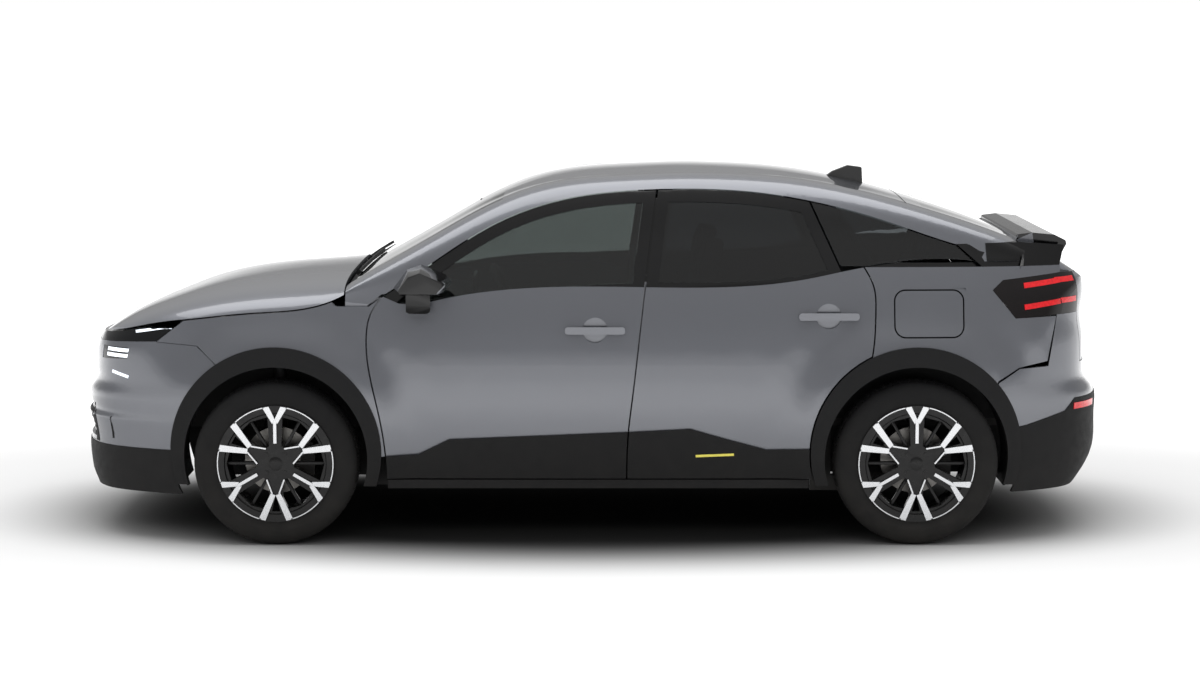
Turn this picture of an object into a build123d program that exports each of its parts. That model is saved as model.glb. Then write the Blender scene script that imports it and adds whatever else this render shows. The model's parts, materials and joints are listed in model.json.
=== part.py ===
from build123d import *
import os
from math import cos, exp, hypot, log, pi, sin

import numpy as np

# A five-door hatchback. X runs to the rear, Y to the car's right, Z up, in millimetres.
# The origin is on the ground below the middle of the car.

# Driving sizes
LENGTH = 4360
WIDTH = 1800
WHEELBASE = 2670
FRONT_OVERHANG = 863
TYRE_RADIUS = 345
TYRE_WIDTH = 195
RIM_RADIUS = 229
TRACK = 1560
FLOOR_Z = 255

# Panel thicknesses and clearances
SKIN = 20
DOOR_IN = 135
GAP = 6
SEAT_GAP = 0.3
GLASS = 5
RAIL = 45
FRAME = 24
FRAME_INSET = 6
FRAME_GAP = 9
GLASS_INSET = 10
CLAD_PROUD = 12
BONNET_SHELL = 26
BUMPER_SHELL = 28
TAILGATE_SHELL = 34

# Places that follow from the driving sizes
FRONT = -LENGTH / 2
REAR = LENGTH / 2
FRONT_AXLE = FRONT + FRONT_OVERHANG
REAR_AXLE = FRONT_AXLE + WHEELBASE
HALF = WIDTH / 2 - CLAD_PROUD - 4
WHEEL_Y = TRACK / 2
DOOR_PLANE = HALF - DOOR_IN + SKIN
PILLAR_PLANE = DOOR_PLANE - GAP
SILL_IN = 620
APRON_Y = 455

# Wheel arches, seen from the side
ARCH_OPEN = TYRE_RADIUS + 39
ARCH_OPEN_Z = TYRE_RADIUS + 23
ARCH_TURN = TYRE_RADIUS + 72
SHOULDER_Y = 808
ARCH_CLAD = TYRE_RADIUS + 97
ARCH_CLAD_Z = TYRE_RADIUS + 47
LINER = 8

# Side section: tumblehome above the waist, tuck below, barrel along the length, flares at the wheels
WAIST_Z = 640
TUMBLE = 70
TUCK = 40
BARREL = 24
FLARE = 22
BELT_STEP = 12
SIDE_LEAN = 0.385
ROOF_CROWN = 22
ROOF_SOFT = 22
NOSE_START = FRONT + 1080
TAIL_START = REAR - 1030
CORNER_POWER = 4


def ease(t):
    """Smooth step from 0 to 1."""
    t = min(max(t, 0), 1)
    return t * t * (3 - 2 * t)


def smooth(*points):
    """Natural cubic curve through the points, straight beyond both ends."""
    s, t = (np.array(column, float) for column in zip(*points))
    n = len(s)
    h = np.diff(s)
    slope = np.diff(t) / h
    system = np.eye(n)
    rhs = np.zeros(n)
    for i in range(1, n - 1):
        system[i, i - 1:i + 2] = h[i - 1], 2 * (h[i - 1] + h[i]), h[i]
        rhs[i] = 6 * (slope[i] - slope[i - 1])
    bend = np.linalg.solve(system, rhs)

    def curve(x):
        i = int(np.clip(np.searchsorted(s, x) - 1, 0, n - 2))
        d = min(max(x, s[0]), s[-1]) - s[i]
        start = slope[i] - h[i] * (2 * bend[i] + bend[i + 1]) / 6
        twist = (bend[i + 1] - bend[i]) / h[i]
        height = t[i] + start * d + bend[i] * d * d / 2 + twist * d ** 3 / 6
        lean = start + bend[i] * d + twist * d * d / 2
        return float(height + lean * (x - s[i] - d))

    return curve


# Long lines of the body, each a height or half width over X
CROWN = smooth((-1060, 1072), (-1003, 1106), (-700, 1275), (-386, 1440), (-218, 1497), (39, 1533),
               (473, 1547),
               (1000, 1503), (1419, 1399), (1829, 1256), (1988, 1178), (2090, 1112))
BELT_BASE = smooth((-1100, 1030), (-864, 1003), (-715, 995), (217, 1065), (900, 1098), (1137, 1134),
                   (1700, 1110),
                   (2090, 960))
ROOF_EDGE = smooth((-1060, 705), (-380, 590), (473, 574), (1330, 569), (1830, 569), (2090, 569))
HOOD_CROWN = smooth((-2120, 835), (-2053, 884), (-1981, 930), (-1835, 990), (-1691, 1034), (-1498, 1072),
                    (-1305, 1092), (-1000, 1108))
SHUTLINE = smooth((-2150, 868), (-1978, 889), (-1789, 928), (-1669, 943), (-1413, 970), (-1157, 996),
                  (-1080, 1020),
                  (-1000, 1060))

# Side outlines as (X, Z) points
DLO_TOP = [(-858, 1050), (-634, 1197), (-405, 1336), (-207, 1413), (-9, 1455), (189, 1473), (454, 1478),
           (692, 1464),
           (958, 1420), (1191, 1359), (1391, 1292), (1525, 1250)]
BELT = [(-866, 1040), (-800, 1012), (-715, 1008), (217, 1080), (900, 1113), (1047, 1143), (1137, 1160),
        (1640, 1160)]
DOOR_FRONT = [(-858, 1075), (-862, 1062), (-916, 972), (-935, 881), (-927, 754), (-884, 554), (-862, 420),
              (-858, 240)]
DOOR_MIDDLE = [(279, 1500), (223, 1081), (207, 946), (168, 610), (153, 482), (147, 360), (146, 240)]
DOOR_REAR = [(1050, 1300), (1130, 1164), (1172, 1081), (1180, 984), (1161, 783), (1120, 640)]


def half_width(x, z):
    """Half width of the painted side at a station and height."""
    lean = TUMBLE * ((z - WAIST_Z) / 500) ** 2 if z > WAIST_Z else TUCK * ((WAIST_Z - z) / 400) ** 2
    flare = sum(1 - ease((hypot(x - axle, z - ARCH_CLAD_Z) - ARCH_CLAD) / 150) for axle in (FRONT_AXLE,
                                                                                            REAR_AXLE))
    return HALF - lean - BARREL * ((x - 100) / 1500) ** 2 + FLARE * flare


def corner(x):
    """Share of the width left where the plan rounds into the nose or the tail."""
    u = max((NOSE_START - x) / (NOSE_START - FRONT), (x - TAIL_START) / (REAR - TAIL_START), 0)
    return max(1 - u ** CORNER_POWER, 0) ** (1 / CORNER_POWER)


def nose_recess(z):
    """How far the front lies behind the foremost point at a height."""
    chin = 50 * max(330 - z, 0) ** 2 / 130 ** 2
    brow = 70 * max(z - 764, 0) ** 2 / 110 ** 2
    return chin + 58 * ease((z - 600) / 75) + brow


def tail_recess(z):
    """How far the tail lies ahead of the rearmost point at a height."""
    chin = 150 * max(400 - z, 0) ** 2 / 180 ** 2
    waist = 26 * (ease((z - 820) / 120) - ease((z - 945) / 90))
    return chin + 88 * ease((z - 590) / 105) + waist + 120 * max(z - 1060, 0) ** 2 / 110 ** 2


def tub_point(angle, z, inset, nose):
    """Point of the nose or tail surface at a plan angle from the centre line."""
    c, s = cos(angle), sin(angle)
    r = (abs(c) ** CORNER_POWER + abs(s) ** CORNER_POWER) ** (-1 / CORNER_POWER)
    if nose:
        x = NOSE_START - (NOSE_START - FRONT - inset) * r * c + nose_recess(z) * c ** 4
    else:
        x = TAIL_START + (REAR - TAIL_START - inset) * r * c - tail_recess(z) * c ** 4
    return x, (half_width(x, z) - inset) * r * s, z


def green_point(x, v, inset):
    """Point of the glasshouse section at a station: v is 0 at the belt and 1 at the roof centre."""
    base, top = BELT_BASE(x), CROWN(x) - inset
    wide = half_width(x, base) * corner(x) - BELT_STEP - inset
    edge = max(wide - SIDE_LEAN * (top - base), 0.5 * wide)
    y = wide + (edge - wide) * v / 0.45 if v < 0.45 else edge * (1 - v) / 0.55
    wall = base + (wide - y) / SIDE_LEAN
    roof = top - ROOF_CROWN * (y / edge) ** 2
    soft = min(wall, roof) - ROOF_SOFT * log(1 + exp(-abs(wall - roof) / ROOF_SOFT))
    return x, -y, soft


def hood_point(x, v, inset):
    """Point of the bonnet section at a station: v is 0 below the shut line and 1 at the centre."""
    base, top = SHUTLINE(x) - 25, HOOD_CROWN(x) - inset
    reach = max(x, -1900)
    wide = half_width(reach, base) * corner(reach) - inset
    ys = wide, wide - 14, 0.74 * wide, 0
    zs = base, base + 0.85 * (top - base), top, top
    weights = (1 - v) ** 3, 3 * v * (1 - v) ** 2, 3 * v * v * (1 - v), v ** 3
    return x, -sum(w * y for w, y in zip(weights, ys)), sum(w * z for w, z in zip(weights, zs))


def skin(rows):
    """Smooth face through a grid of points."""
    return Face.make_surface_from_array_of_points(rows, tol=1)


def ring(curve, *corners):
    """Closed wire: a smooth curve through points, evenly timed, then straight lines over corners."""
    path = [curve[-1], *corners, curve[0]]
    top = Edge.make_spline([Vector(*p) for p in curve], parameters=list(np.linspace(0, 1, len(curve))))
    return Wire([top] + [Edge.make_line(p, q) for p, q in zip(path, path[1:])])


def below(point, start, end, stations, low, inset):
    """Solid below a full-width surface given by left-hand sections; an inset one reaches past the ends."""
    rings = []
    past = 0.1 * inset
    for x in np.linspace(start - past, end + past, stations):
        left = [point(x, v, inset) for v in np.linspace(0, 1, 9)]
        curve = left + [(p[0], -p[1], p[2]) for p in left[-2::-1]]
        rings.append(ring(curve, (x, curve[-1][1], low - inset), (x, curve[0][1], low - inset)))
    return Solid.make_loft(rings)


def glasshouse(inset=0):
    """Solid below the glasshouse surface."""
    return below(green_point, -1050, 2085, 15, 700, inset)


def green_shell(block, inset, thickness):
    """Part of the glasshouse inside a block, at a depth below its surface."""
    return (glasshouse(inset) & block) - glasshouse(inset + thickness)


def hood(inset=0):
    """Solid below the bonnet surface."""
    return below(hood_point, -2130, -940, 12, 600, inset)


def flank(inset=0):
    """Left side surface."""
    return skin([[(x, inset - half_width(x, z) * corner(x), z) for z in np.linspace(200, 1190, 16)]
                 for x in np.linspace(-1960, 1990, 44)])


def inward(face, depth):
    """Solid that reaches inboard from left-hand faces."""
    return extrude(face, amount=depth, dir=(0, 1, 0))


def tub_end(nose, inset=0, high=900):
    """Solid behind the nose surface or ahead of the tail surface."""
    levels = [200, 240, 280, 330, 390, 460, 530, 590, 620, 645, 670, 695, 730, 770, 800, 840, 870, 900, 945,
              990, 1030,
              1065, 1095, 1120, 1150, 1180]
    rings = []
    back = NOSE_START + 300 + inset if nose else TAIL_START - 300 - inset
    for z in [level for level in levels if level <= high]:
        z += inset * (1 if z == high else -1 if z == levels[0] else 0)
        curve = [tub_point(angle, z, inset, nose) for angle in np.linspace(-1.2, 1.2, 17)]
        rings.append(ring(curve, (back, curve[-1][1], z), (back, curve[0][1], z)))
    return Solid.make_loft(rings)


def shape(*points):
    """Flat face inside straight lines."""
    return make_face(Polyline(*points, close=True))


def side(face, inner=300, outer=1100):
    """Left-hand block of an (X, Z) face between two distances from the centre plane."""
    return extrude(Plane.XZ.offset(inner) * face, amount=outer - inner)


def across(face, half):
    """Block of an (X, Z) face reaching the same distance to both sides."""
    return side(face, -half, half)


def plan(face, low=100, high=1700):
    """Upright block of an (X, Y) face."""
    return extrude(Pos(0, 0, low) * face, amount=high - low)


def box(x0, x1, y0, y1, z0, z1):
    """Block between two corners."""
    return Pos((x0 + x1) / 2, (y0 + y1) / 2, (z0 + z1) / 2) * Box(x1 - x0, y1 - y0, z1 - z0)


def rod(radius, y0, y1, x, z):
    """Cylinder along Y."""
    return Pos(x, (y0 + y1) / 2, z) * Rot(90, 0, 0) * Cylinder(radius, abs(y1 - y0))


def disc(radius, x, z):
    """Round (X, Z) face."""
    return Pos(x, z) * Circle(radius)


def blade(points, width=GAP):
    """Thin (X, Z) face along a curve, for a shut line."""
    return trace(Spline(*points), width)


def shifted(points, distance):
    """Points of a curve moved to its right by a distance."""
    p = np.array(points, float)
    t = np.gradient(p, axis=0)
    t = t / np.hypot(*t.T)[:, None]
    return [tuple(q) for q in p + distance * np.column_stack((t[:, 1], -t[:, 0]))]


def largest(part):
    """Biggest solid of a part."""
    return max(part.solids(), key=lambda solid: solid.volume)


def both(part):
    """A left-hand part with its mirror image."""
    return part + mirror(part, Plane.XZ)


# Master surfaces and solids that several panels share
FLANK = flank()
FLANK_CORE = flank(SKIN / 2)
FLANK_BACK = flank(SKIN + SEAT_GAP)
FLANK_CLAD = flank(-CLAD_PROUD)
GREEN = glasshouse()
NOSE = tub_end(True)
NOSE_IN = tub_end(True, BUMPER_SHELL)
TAIL = tub_end(False, high=1180)
TAIL_IN = tub_end(False, TAILGATE_SHELL, high=1180)

# Painted sides, split by the shut lines into wing, doors and rear quarter
CLAD_TOP = [(915, 409), (730, 403), (564, 448), (411, 493), (163, 480), (-594, 448), (-722, 384), (-858, 377)]
LAMP_REAR = [(-1815, 848), (-1700, SHUTLINE(-1700) - GAP / 2)]
wing_top = [(x, SHUTLINE(x) - GAP / 2) for x in (-1600, -1413, -1250, -1157, -1080)]
side_face = make_face(
    Spline(*BELT[2:7])
    + Polyline(BELT[6], (1965, 1160), (1965, 1132), (1959, 1130), (1714, 1105), (1669, 1064), (1766, 946),
               (1945, 950),
               (1905, 765), (1780, 742), (1690, 690), (1600, 409),
               *CLAD_TOP, (-1000, 377), (-1100, 420), (-1560, 760), (-1640, 835), *LAMP_REAR)
    + Spline(LAMP_REAR[1], *wing_top)
    + Polyline(wing_top[-1], (-1062, 1000), (-925, 1000), BELT[0], BELT[1], BELT[2]))
arch_faces = (disc(ARCH_CLAD + SEAT_GAP, FRONT_AXLE, ARCH_CLAD_Z)
              + disc(ARCH_CLAD + SEAT_GAP, REAR_AXLE, ARCH_CLAD_Z)
              + (disc(ARCH_CLAD + GAP, REAR_AXLE, ARCH_CLAD_Z)
                 & shape((800, 300), (1165, 300), (1165, 900), (800, 900))))
side_face = side_face - arch_faces
for line in (DOOR_FRONT, DOOR_MIDDLE, DOOR_REAR):
    side_face = side_face - blade(line)
side_faces = sorted(side_face.faces(), key=lambda f: f.center().X)
wing_face, front_door_face, rear_door_face, quarter_face = [f for f in side_faces if f.area > 20000]

# Front wings
front_fenders = both(inward(FLANK & side(wing_face), SKIN))

# Rear quarter skin, with the fuel flap in its left side
flap_face = Pos(1402, 970) * RectangleRounded(282, 187, 42)
flap_hole = Pos(1402, 970) * RectangleRounded(282 + 2 * GAP, 187 + 2 * GAP, 42 + GAP)
quarter_skin = FLANK & side(quarter_face)
left_quarter = inward(FLANK & side(quarter_face - flap_hole), SKIN)
right_quarter = mirror(inward(quarter_skin, SKIN), Plane.XZ)
fuel_flap = inward(FLANK & side(flap_face), SKIN)

# Doors: outer skin, inner box, window frame and cladding
DOOR_BOTTOM = 282
front_box = shape((-836, 1002), (-888, 958), (-908, 881), (-900, 754), (-858, 554), (-834, 420), (-832, 300),
                  (128, 300), (128, 482), (136, 610), (165, 946), (184, 1070), (-700, 1003), (-790, 1007))
rear_box = shape((182, 300), (182, 482), (190, 610), (220, 946), (246, 1074), (890, 1104), (1040, 1134),
                 (1120, 1140),
                 (1146, 1075), (1154, 984), (1136, 830), (1010, 740), (905, 600), (868, 480), (860, 300))
low_box = shape((-950, 250), (950, 250), (950, 470), (560, 470), (411, 510), (-594, 470), (-950, 400))
belt_line = [(-1000, 978), *BELT[2:7], (1700, 1160)]


def window_band(inset, lift):
    """Side window area between the belt, lifted, and the roof rail, drawn in."""
    top = shifted(DLO_TOP, inset)
    end = 1645 - inset
    under = make_face(Spline(*top) + Polyline(top[-1], (end, 1150), (end, 900), (top[0][0], 900), top[0]))
    low = [(x, z + lift) for x, z in belt_line]
    over = make_face(Spline(*low) + Polyline(low[-1], (1700, 1600), (-1000, 1600), low[0]))
    return under & over


def split_band(band, width):
    """The band's front, middle and rear areas, apart by a width at the pillars."""
    areas = band - blade(DOOR_MIDDLE, width) - blade([(880, 1500), (1080, 1060)], width)
    return sorted(areas.faces(), key=lambda f: f.center().X)


FRAME_BAR = 48
frame_faces = split_band(window_band(GAP, -30), FRAME_GAP)
window_faces = split_band(window_band(GAP + FRAME_BAR, 14), FRAME_GAP + 2 * FRAME_BAR)
pane_faces = split_band(window_band(GAP + FRAME_BAR + SEAT_GAP, 14 + SEAT_GAP),
                        FRAME_GAP + 2 * (FRAME_BAR + SEAT_GAP))
door_clad_face = shape(*[(x, z - SEAT_GAP) for x, z in CLAD_TOP], (-856, DOOR_BOTTOM), (915, DOOR_BOTTOM))
door_clad_face = door_clad_face - arch_faces - blade(DOOR_FRONT) - blade(DOOR_MIDDLE)
door_clads = sorted(inward(FLANK_CLAD & side(door_clad_face), CLAD_PROUD + SKIN).solids(),
                    key=lambda s: s.center().X)


def handle(x, z):
    """Strap handle over a finger bowl: what is added to and cut from a door."""
    skin_y = -half_width(x, z)
    bowl = Pos(x, skin_y, z) * Rot(90, 0, 0) * Cylinder(52, 24)
    bar = Pos(x, skin_y - 6, z) * Rot(90, 0, 0) * extrude(RectangleRounded(250, 30, 12), amount=17, both=True)
    return bar - Pos(x, skin_y + 2, z) * Rot(90, 0, 0) * Cylinder(62, 26), bowl


def door(skin_face, box_face, order, x, z):
    """A door panel with its window frame and handle, and its glass."""
    grip, bowl = handle(x, z)
    room = side(shape((-1000, 200), (1300, 200), (1300, 1300), (-1000, 1300)), DOOR_PLANE)
    upper = inward(FLANK_CORE & side(box_face - low_box), 200) & room
    lower = inward(FLANK_BACK & side(box_face), 200) & room
    panel = inward(FLANK & side(skin_face), SKIN) + upper + lower
    frame = green_shell(side(frame_faces[order], 400), FRAME_INSET, FRAME) - side(window_faces[order])
    glass = green_shell(side(pane_faces[order], 400), GLASS_INSET, GLASS)
    return panel + frame - bowl + grip, glass


front_door, front_glass = door(front_door_face, front_box, 0, 14, 904)
rear_door, rear_glass = door(rear_door_face, rear_box, 1, 985, 960)

# Body sides: roof rail, pillars, sill and rear quarter in one piece
rail_face = make_face(
    Spline(*DLO_TOP)
    + Polyline(DLO_TOP[-1], (1640, 1180), (1800, 1180), (1830, 1262), (1830, 1650), (-1024, 1650),
               (-1024, 1000 + SEAT_GAP),
               (-935, 1000 + SEAT_GAP), (-874, 1048), DLO_TOP[0]))
edge_points = [(x, -ROOF_EDGE(x)) for x in (-1060, -700, -380, 0, 473, 900, 1330, 1600, 1830, 2090)]
roof_band = make_face(Spline(*edge_points) + Polyline(edge_points[-1], (2090, 0), (-1060, 0), edge_points[0]))
rail = green_shell(side(rail_face, 100), 0, RAIL) - plan(roof_band)
pillar_upper = green_shell(side(shape((178, 1095), (292, 1100), (345, 1505), (225, 1505)), 400),
                           FRAME_INSET + FRAME + GAP, 75)
pillar_lower = side(shape((172, 240), (172, 1125), (276, 1125), (250, 946), (215, 240)), 660, PILLAR_PLANE)
hinge_pillar = side(shape((-920, 240), (-800, 240), (-800, 700), (-850, 1030), (-1022, 1030), (-1022, 820),
                          (-920, 650)),
                    640, PILLAR_PLANE)
hinge_foot = side(shape((-1022, 970), (-945, 970), (-945, 1030), (-1022, 1030)), 640, 800)
sill = side(shape((-920, 240), (915, 240), (915, 400), (-920, 400)), SILL_IN, PILLAR_PLANE)
sill_lip = side(shape((-850, 240), (905, 240), (905, DOOR_BOTTOM - GAP), (-850, DOOR_BOTTOM - GAP)), SILL_IN,
                858)
quarter_pillar = green_shell(
    side(shape((1205, 1080), (1640, 1080), (1662, 1124), (1800, 1130), (1800, 1258), (1600, 1258),
               (1640, 1175),
               (1180, 1175), (1040, 1390), (960, 1445), (1000, 1400), (1165, 1150)), 600), 18, 42)
quarter_ledge = inward(FLANK & side(shape((1200, 1075), (1660, 1075), (1700, 1120), (1950, 1135),
                                          (1950, 1158), (1150, 1158))),
                       90)
front_well = side(disc(ARCH_TURN + LINER + SEAT_GAP, FRONT_AXLE, ARCH_OPEN_Z), APRON_Y)
frame_parts = rail + pillar_upper + pillar_lower + hinge_pillar + hinge_foot + sill + sill_lip - front_well
left_frame = frame_parts + left_quarter + quarter_ledge + quarter_pillar
right_frame = mirror(frame_parts + mirror(right_quarter, Plane.XZ) + quarter_ledge + quarter_pillar, Plane.XZ)

# Roof with its fin aerial, windscreen and rear quarter glass
HEADER_X = -376
TAILGATE_X = 1330


def roof_area(start, end, drawn_in):
    """Plan area between the roof edges over a length, drawn in from them."""
    xs = np.linspace(start, end, 9)
    left = [(x, drawn_in - ROOF_EDGE(x)) for x in xs]
    right = [(x, -y) for x, y in left]
    return make_face(Spline(*left) + Line(left[-1], right[-1]) + Spline(*right) + Line(left[0], right[0]))


roof_skin = green_shell(plan(roof_area(HEADER_X + SEAT_GAP, TAILGATE_X - GAP, 0.7)), 0, 30)
fin = across(shape((1015, 1480), (1060, 1513), (1130, 1540), (1190, 1532), (1194, 1445), (1180, 1430)), 22)
fin = fillet(fin.edges().filter_by(Axis.Y).sort_by(Axis.Z)[-2:], 6)
roof_panel = roof_skin + fin
windscreen = green_shell(plan(roof_area(-985, HEADER_X, 0.7)), 1, 6)
quarter_windows = both(green_shell(side(window_band(GAP, 1) & shape(
    (1040, 1163), (1060, 1163), (1660, 1163), (1660, 1500), (880, 1500), (895, 1475), (1033,
                                                                                       1171)), 400), 8, 10 - SEAT_GAP))

# Bonnet
BONNET_REAR = -1030
bonnet_front = [tub_point(angle, 864, -4, True)[:2] for angle in np.linspace(-1.1, 1.1, 15)]
bonnet_plan = make_face(Spline(*bonnet_front)
                        + Polyline(bonnet_front[-1], (BONNET_REAR, 860), (BONNET_REAR, -860),
                                                        bonnet_front[0]))
bonnet_line = [(x, SHUTLINE(x) + GAP / 2) for x in (-2140, -1978, -1789, -1669, -1413, -1157, -1080, -1020)]
bonnet_side = make_face(Spline(*bonnet_line)
                        + Polyline(bonnet_line[-1], (-1020, 1300), (-2140, 1300), bonnet_line[0]))
bonnet = ((hood() & plan(bonnet_plan)) & across(bonnet_side, 1000)) - hood(BONNET_SHELL)

# Headlamps: a slim upper lamp that wraps the corner and a lower block
LAMP_DEPTH = 70
nose_lamp = tub_end(True, 2)
nose_lamp_in = tub_end(True, LAMP_DEPTH)


def upper_lamp(drawn_in):
    """Side outline of the slim upper lamp, drawn in all round."""
    top = [(x, SHUTLINE(x) - GAP - drawn_in) for x in (-2140, -1978, -1850, -1706 - drawn_in)]
    low = [(-1818 - 2 * drawn_in, 848), (-1949, 841), (-2140, 826)]
    return make_face(Spline(*top) + Polyline(top[-1], *[(x, z + drawn_in) for x, z in low], top[0]))


def lower_lamp(drawn_in):
    """Side outline of the lower lamp block, drawn in all round."""
    return shape((-2120, 815 - drawn_in), (-1940 - drawn_in, 815 - drawn_in),
                 (-1950 - drawn_in, 770 + drawn_in),
                 (-2120, 755 + drawn_in))


upper_block = (nose_lamp & side(upper_lamp(SEAT_GAP), 430)) - nose_lamp_in
lower_block = (nose_lamp & side(lower_lamp(SEAT_GAP), 600)) - nose_lamp_in
headlamps = both(upper_block + lower_block)

# Front bumper and its black lower trim with the grille
bumper_top = [(x, SHUTLINE(x) - GAP) for x in (-2190, -1978, -1850, -1640)]
bumper_face = make_face(Spline(*bumper_top)
                        + Polyline(bumper_top[-1], (-1640, 835 - GAP), (-1560, 760), (-1560, 395),
                                                       (-2190, 395), bumper_top[0]))
front_arch = disc(ARCH_CLAD + SEAT_GAP, FRONT_AXLE, ARCH_CLAD_Z)
grille_face = shape((-2250, 418), (-2000, 418), (-2000, 560), (-2250, 560))
wing_cut = side(shape((-1820, 846), (-1641, 833), (-1561, 757), (-1400, 757), (-1400, 990), (-1706, 990)))
bumper_block = (NOSE & across(bumper_face - front_arch, 1000)) - NOSE_IN
bumper_block = bumper_block - both(wing_cut) - across(grille_face, 560)
lamp_holes = side(upper_lamp(0), 430 - SEAT_GAP) + side(lower_lamp(0), 600 - SEAT_GAP)
front_bumper = largest(bumper_block - both(lamp_holes))
skirt_face = shape((-2250, 205), (-1560, 205), (-1560, 395 - SEAT_GAP), (-2250, 395 - SEAT_GAP)) - front_arch
skirt = (tub_end(True, -3) & across(skirt_face, 1000)) - NOSE_IN
grille_low = 418 + SEAT_GAP
grille_top = 560 - SEAT_GAP
grille = (tub_end(True, 14) & across(
    shape((-2250, grille_low), (-2000, grille_low), (-2000, grille_top),
          (-2250, grille_top)), 560 - SEAT_GAP)) - NOSE_IN
front_trim = skirt + grille

# Tailgate with spoiler, its glass, and the lamps beside it
TAILGATE_HALF = 600
TAILGATE_LOW = 748
GATE_TOP_HALF = 560
gate_upper = green_shell(box(TAILGATE_X, 2040, -GATE_TOP_HALF, GATE_TOP_HALF, 900, 1600), 0, TAILGATE_SHELL)
gate_bridge = box(2015, 2048, 5 - GATE_TOP_HALF, GATE_TOP_HALF - 5, 1092, 1124)
gate_upper = gate_upper - box(1405, 1785, -490, 490, 1000, 1600)
gate_box = across(shape((1950, TAILGATE_LOW), (2250, TAILGATE_LOW), (2250, 1180), (1950, 1180)),
                  TAILGATE_HALF)
gate_lower = (TAIL & gate_box & GREEN) - TAIL_IN
spoiler = across(shape((1800, 1235), (1796, 1278), (1865, 1286), (1960, 1277), (2008, 1253), (2011, 1238),
                       (1974, 1168), (1930, 1175)), 560)
spoiler = fillet(spoiler.edges().filter_by(Axis.Y).sort_by(Axis.Z)[-4:-1], 12)
tailgate = largest(gate_upper + gate_lower + gate_bridge + spoiler)
rear_window = green_shell(
    box(1405 + SEAT_GAP, 1785 - SEAT_GAP, SEAT_GAP - 490, 490 - SEAT_GAP, 1080, 1600), 2, 5)


def tail_lamp(drawn_in):
    """Side outline of a tail lamp, drawn in all round."""
    d = drawn_in
    return shape((1669 + 2 * d, 1064), (1714 + d, 1105 - d), (1959, 1130 - d), (2150, 1122 - d),
                 (2150, 958 + d),
                 (1954, 955 + d), (1766 + d, 946 + d))


tail_lamps = both((tub_end(False, -2, high=1180) & side(tail_lamp(SEAT_GAP), TAILGATE_HALF + GAP)) - TAIL_IN)

# Rear bumper and its black lower trim
rear_arch = disc(ARCH_CLAD + SEAT_GAP, REAR_AXLE, ARCH_CLAD_Z)
TRIM_TOP = [(1680, 480), (1817, 502), (1992, 549), (2040, 600), (2250, 600)]
low_face = shape((1640, 600), (1694, 682), (1784, 737), (1905, TAILGATE_LOW - GAP),
                 (2250, TAILGATE_LOW - GAP), *TRIM_TOP[::-1],
                 (1600, 480)) - rear_arch
high_face = shape((1905 + GAP, 740), (1945 + GAP, 955 - SEAT_GAP), (2250, 955 - SEAT_GAP), (2250, 740))
rear_shell = tub_end(False, BUMPER_SHELL, high=1180)
rear_bumper = (TAIL & (across(low_face, 1000) + both(side(high_face, TAILGATE_HALF + GAP)))) - rear_shell
rear_skirt_face = shape((1600, 480), *[(x, z - SEAT_GAP) for x, z in TRIM_TOP], (2250, 215),
                        (1600, 215)) - rear_arch
rear_trim = (tub_end(False, -3, high=1180) & across(rear_skirt_face, 1000)) - rear_shell
bumper_trim = front_trim + rear_trim

# Wheel arch trims with their liners, the front ones wider inside to let the wheels turn
def arch_ring(radius, centre_z, axle):
    """Side outline round a wheel arch opening, above the sill's foot."""
    over = shape((axle - 600, 250), (axle + 600, 250), (axle + 600, 1000), (axle - 600, 1000))
    return (disc(radius, axle, centre_z) - disc(ARCH_OPEN, axle, ARCH_OPEN_Z)) & over


def arch(axle, inner):
    """Black trim round a left wheel arch, with the liner behind it."""
    trim = inward(FLANK_CLAD & side(arch_ring(ARCH_CLAD, ARCH_CLAD_Z, axle)), CLAD_PROUD + SKIN + 10)
    return trim + side(arch_ring(ARCH_OPEN + LINER, ARCH_OPEN_Z, axle), inner + SEAT_GAP, 845)


turn_liner = side(arch_ring(ARCH_TURN + LINER, ARCH_OPEN_Z, FRONT_AXLE), APRON_Y + SEAT_GAP, SHOULDER_Y)
turn_room = side(disc(ARCH_TURN, FRONT_AXLE, ARCH_OPEN_Z), APRON_Y, SHOULDER_Y - LINER)
front_arch_trim = arch(FRONT_AXLE, APRON_Y) + turn_liner - turn_room
rear_arch_trim = arch(REAR_AXLE, SILL_IN)

# Floor, bulkhead, front rails and rear floor
FLOOR = 30
floor_parts = [
    box(-940, 1010, SEAT_GAP - SILL_IN, SILL_IN - SEAT_GAP, FLOOR_Z, FLOOR_Z + FLOOR),
    box(-940, 900, -110, 110, FLOOR_Z, FLOOR_Z + 170),
    box(-960, -930, SEAT_GAP - SILL_IN, SILL_IN - SEAT_GAP, FLOOR_Z, 1000),
    box(985, 1015, SEAT_GAP - SILL_IN, SILL_IN - SEAT_GAP, FLOOR_Z, 480),
    box(985, 2040, SEAT_GAP - SILL_IN, SILL_IN - SEAT_GAP, 470, 500),
    box(-2060, -1990, -520, 520, 440, 520),
]
for sign in (-1, 1):
    rail_ys = sorted((sign * (APRON_Y - 55), sign * APRON_Y))
    plate_ys = sorted((sign * (APRON_Y - 12), sign * APRON_Y))
    floor_parts.append(box(-2000, -940, *rail_ys, 440, 520))
    floor_parts.append(box(-1950, -940, *plate_ys, 480, 880))
floor_pan = floor_parts[0].fuse(*floor_parts[1:])
floor_pan = floor_pan - both(front_well)

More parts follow.
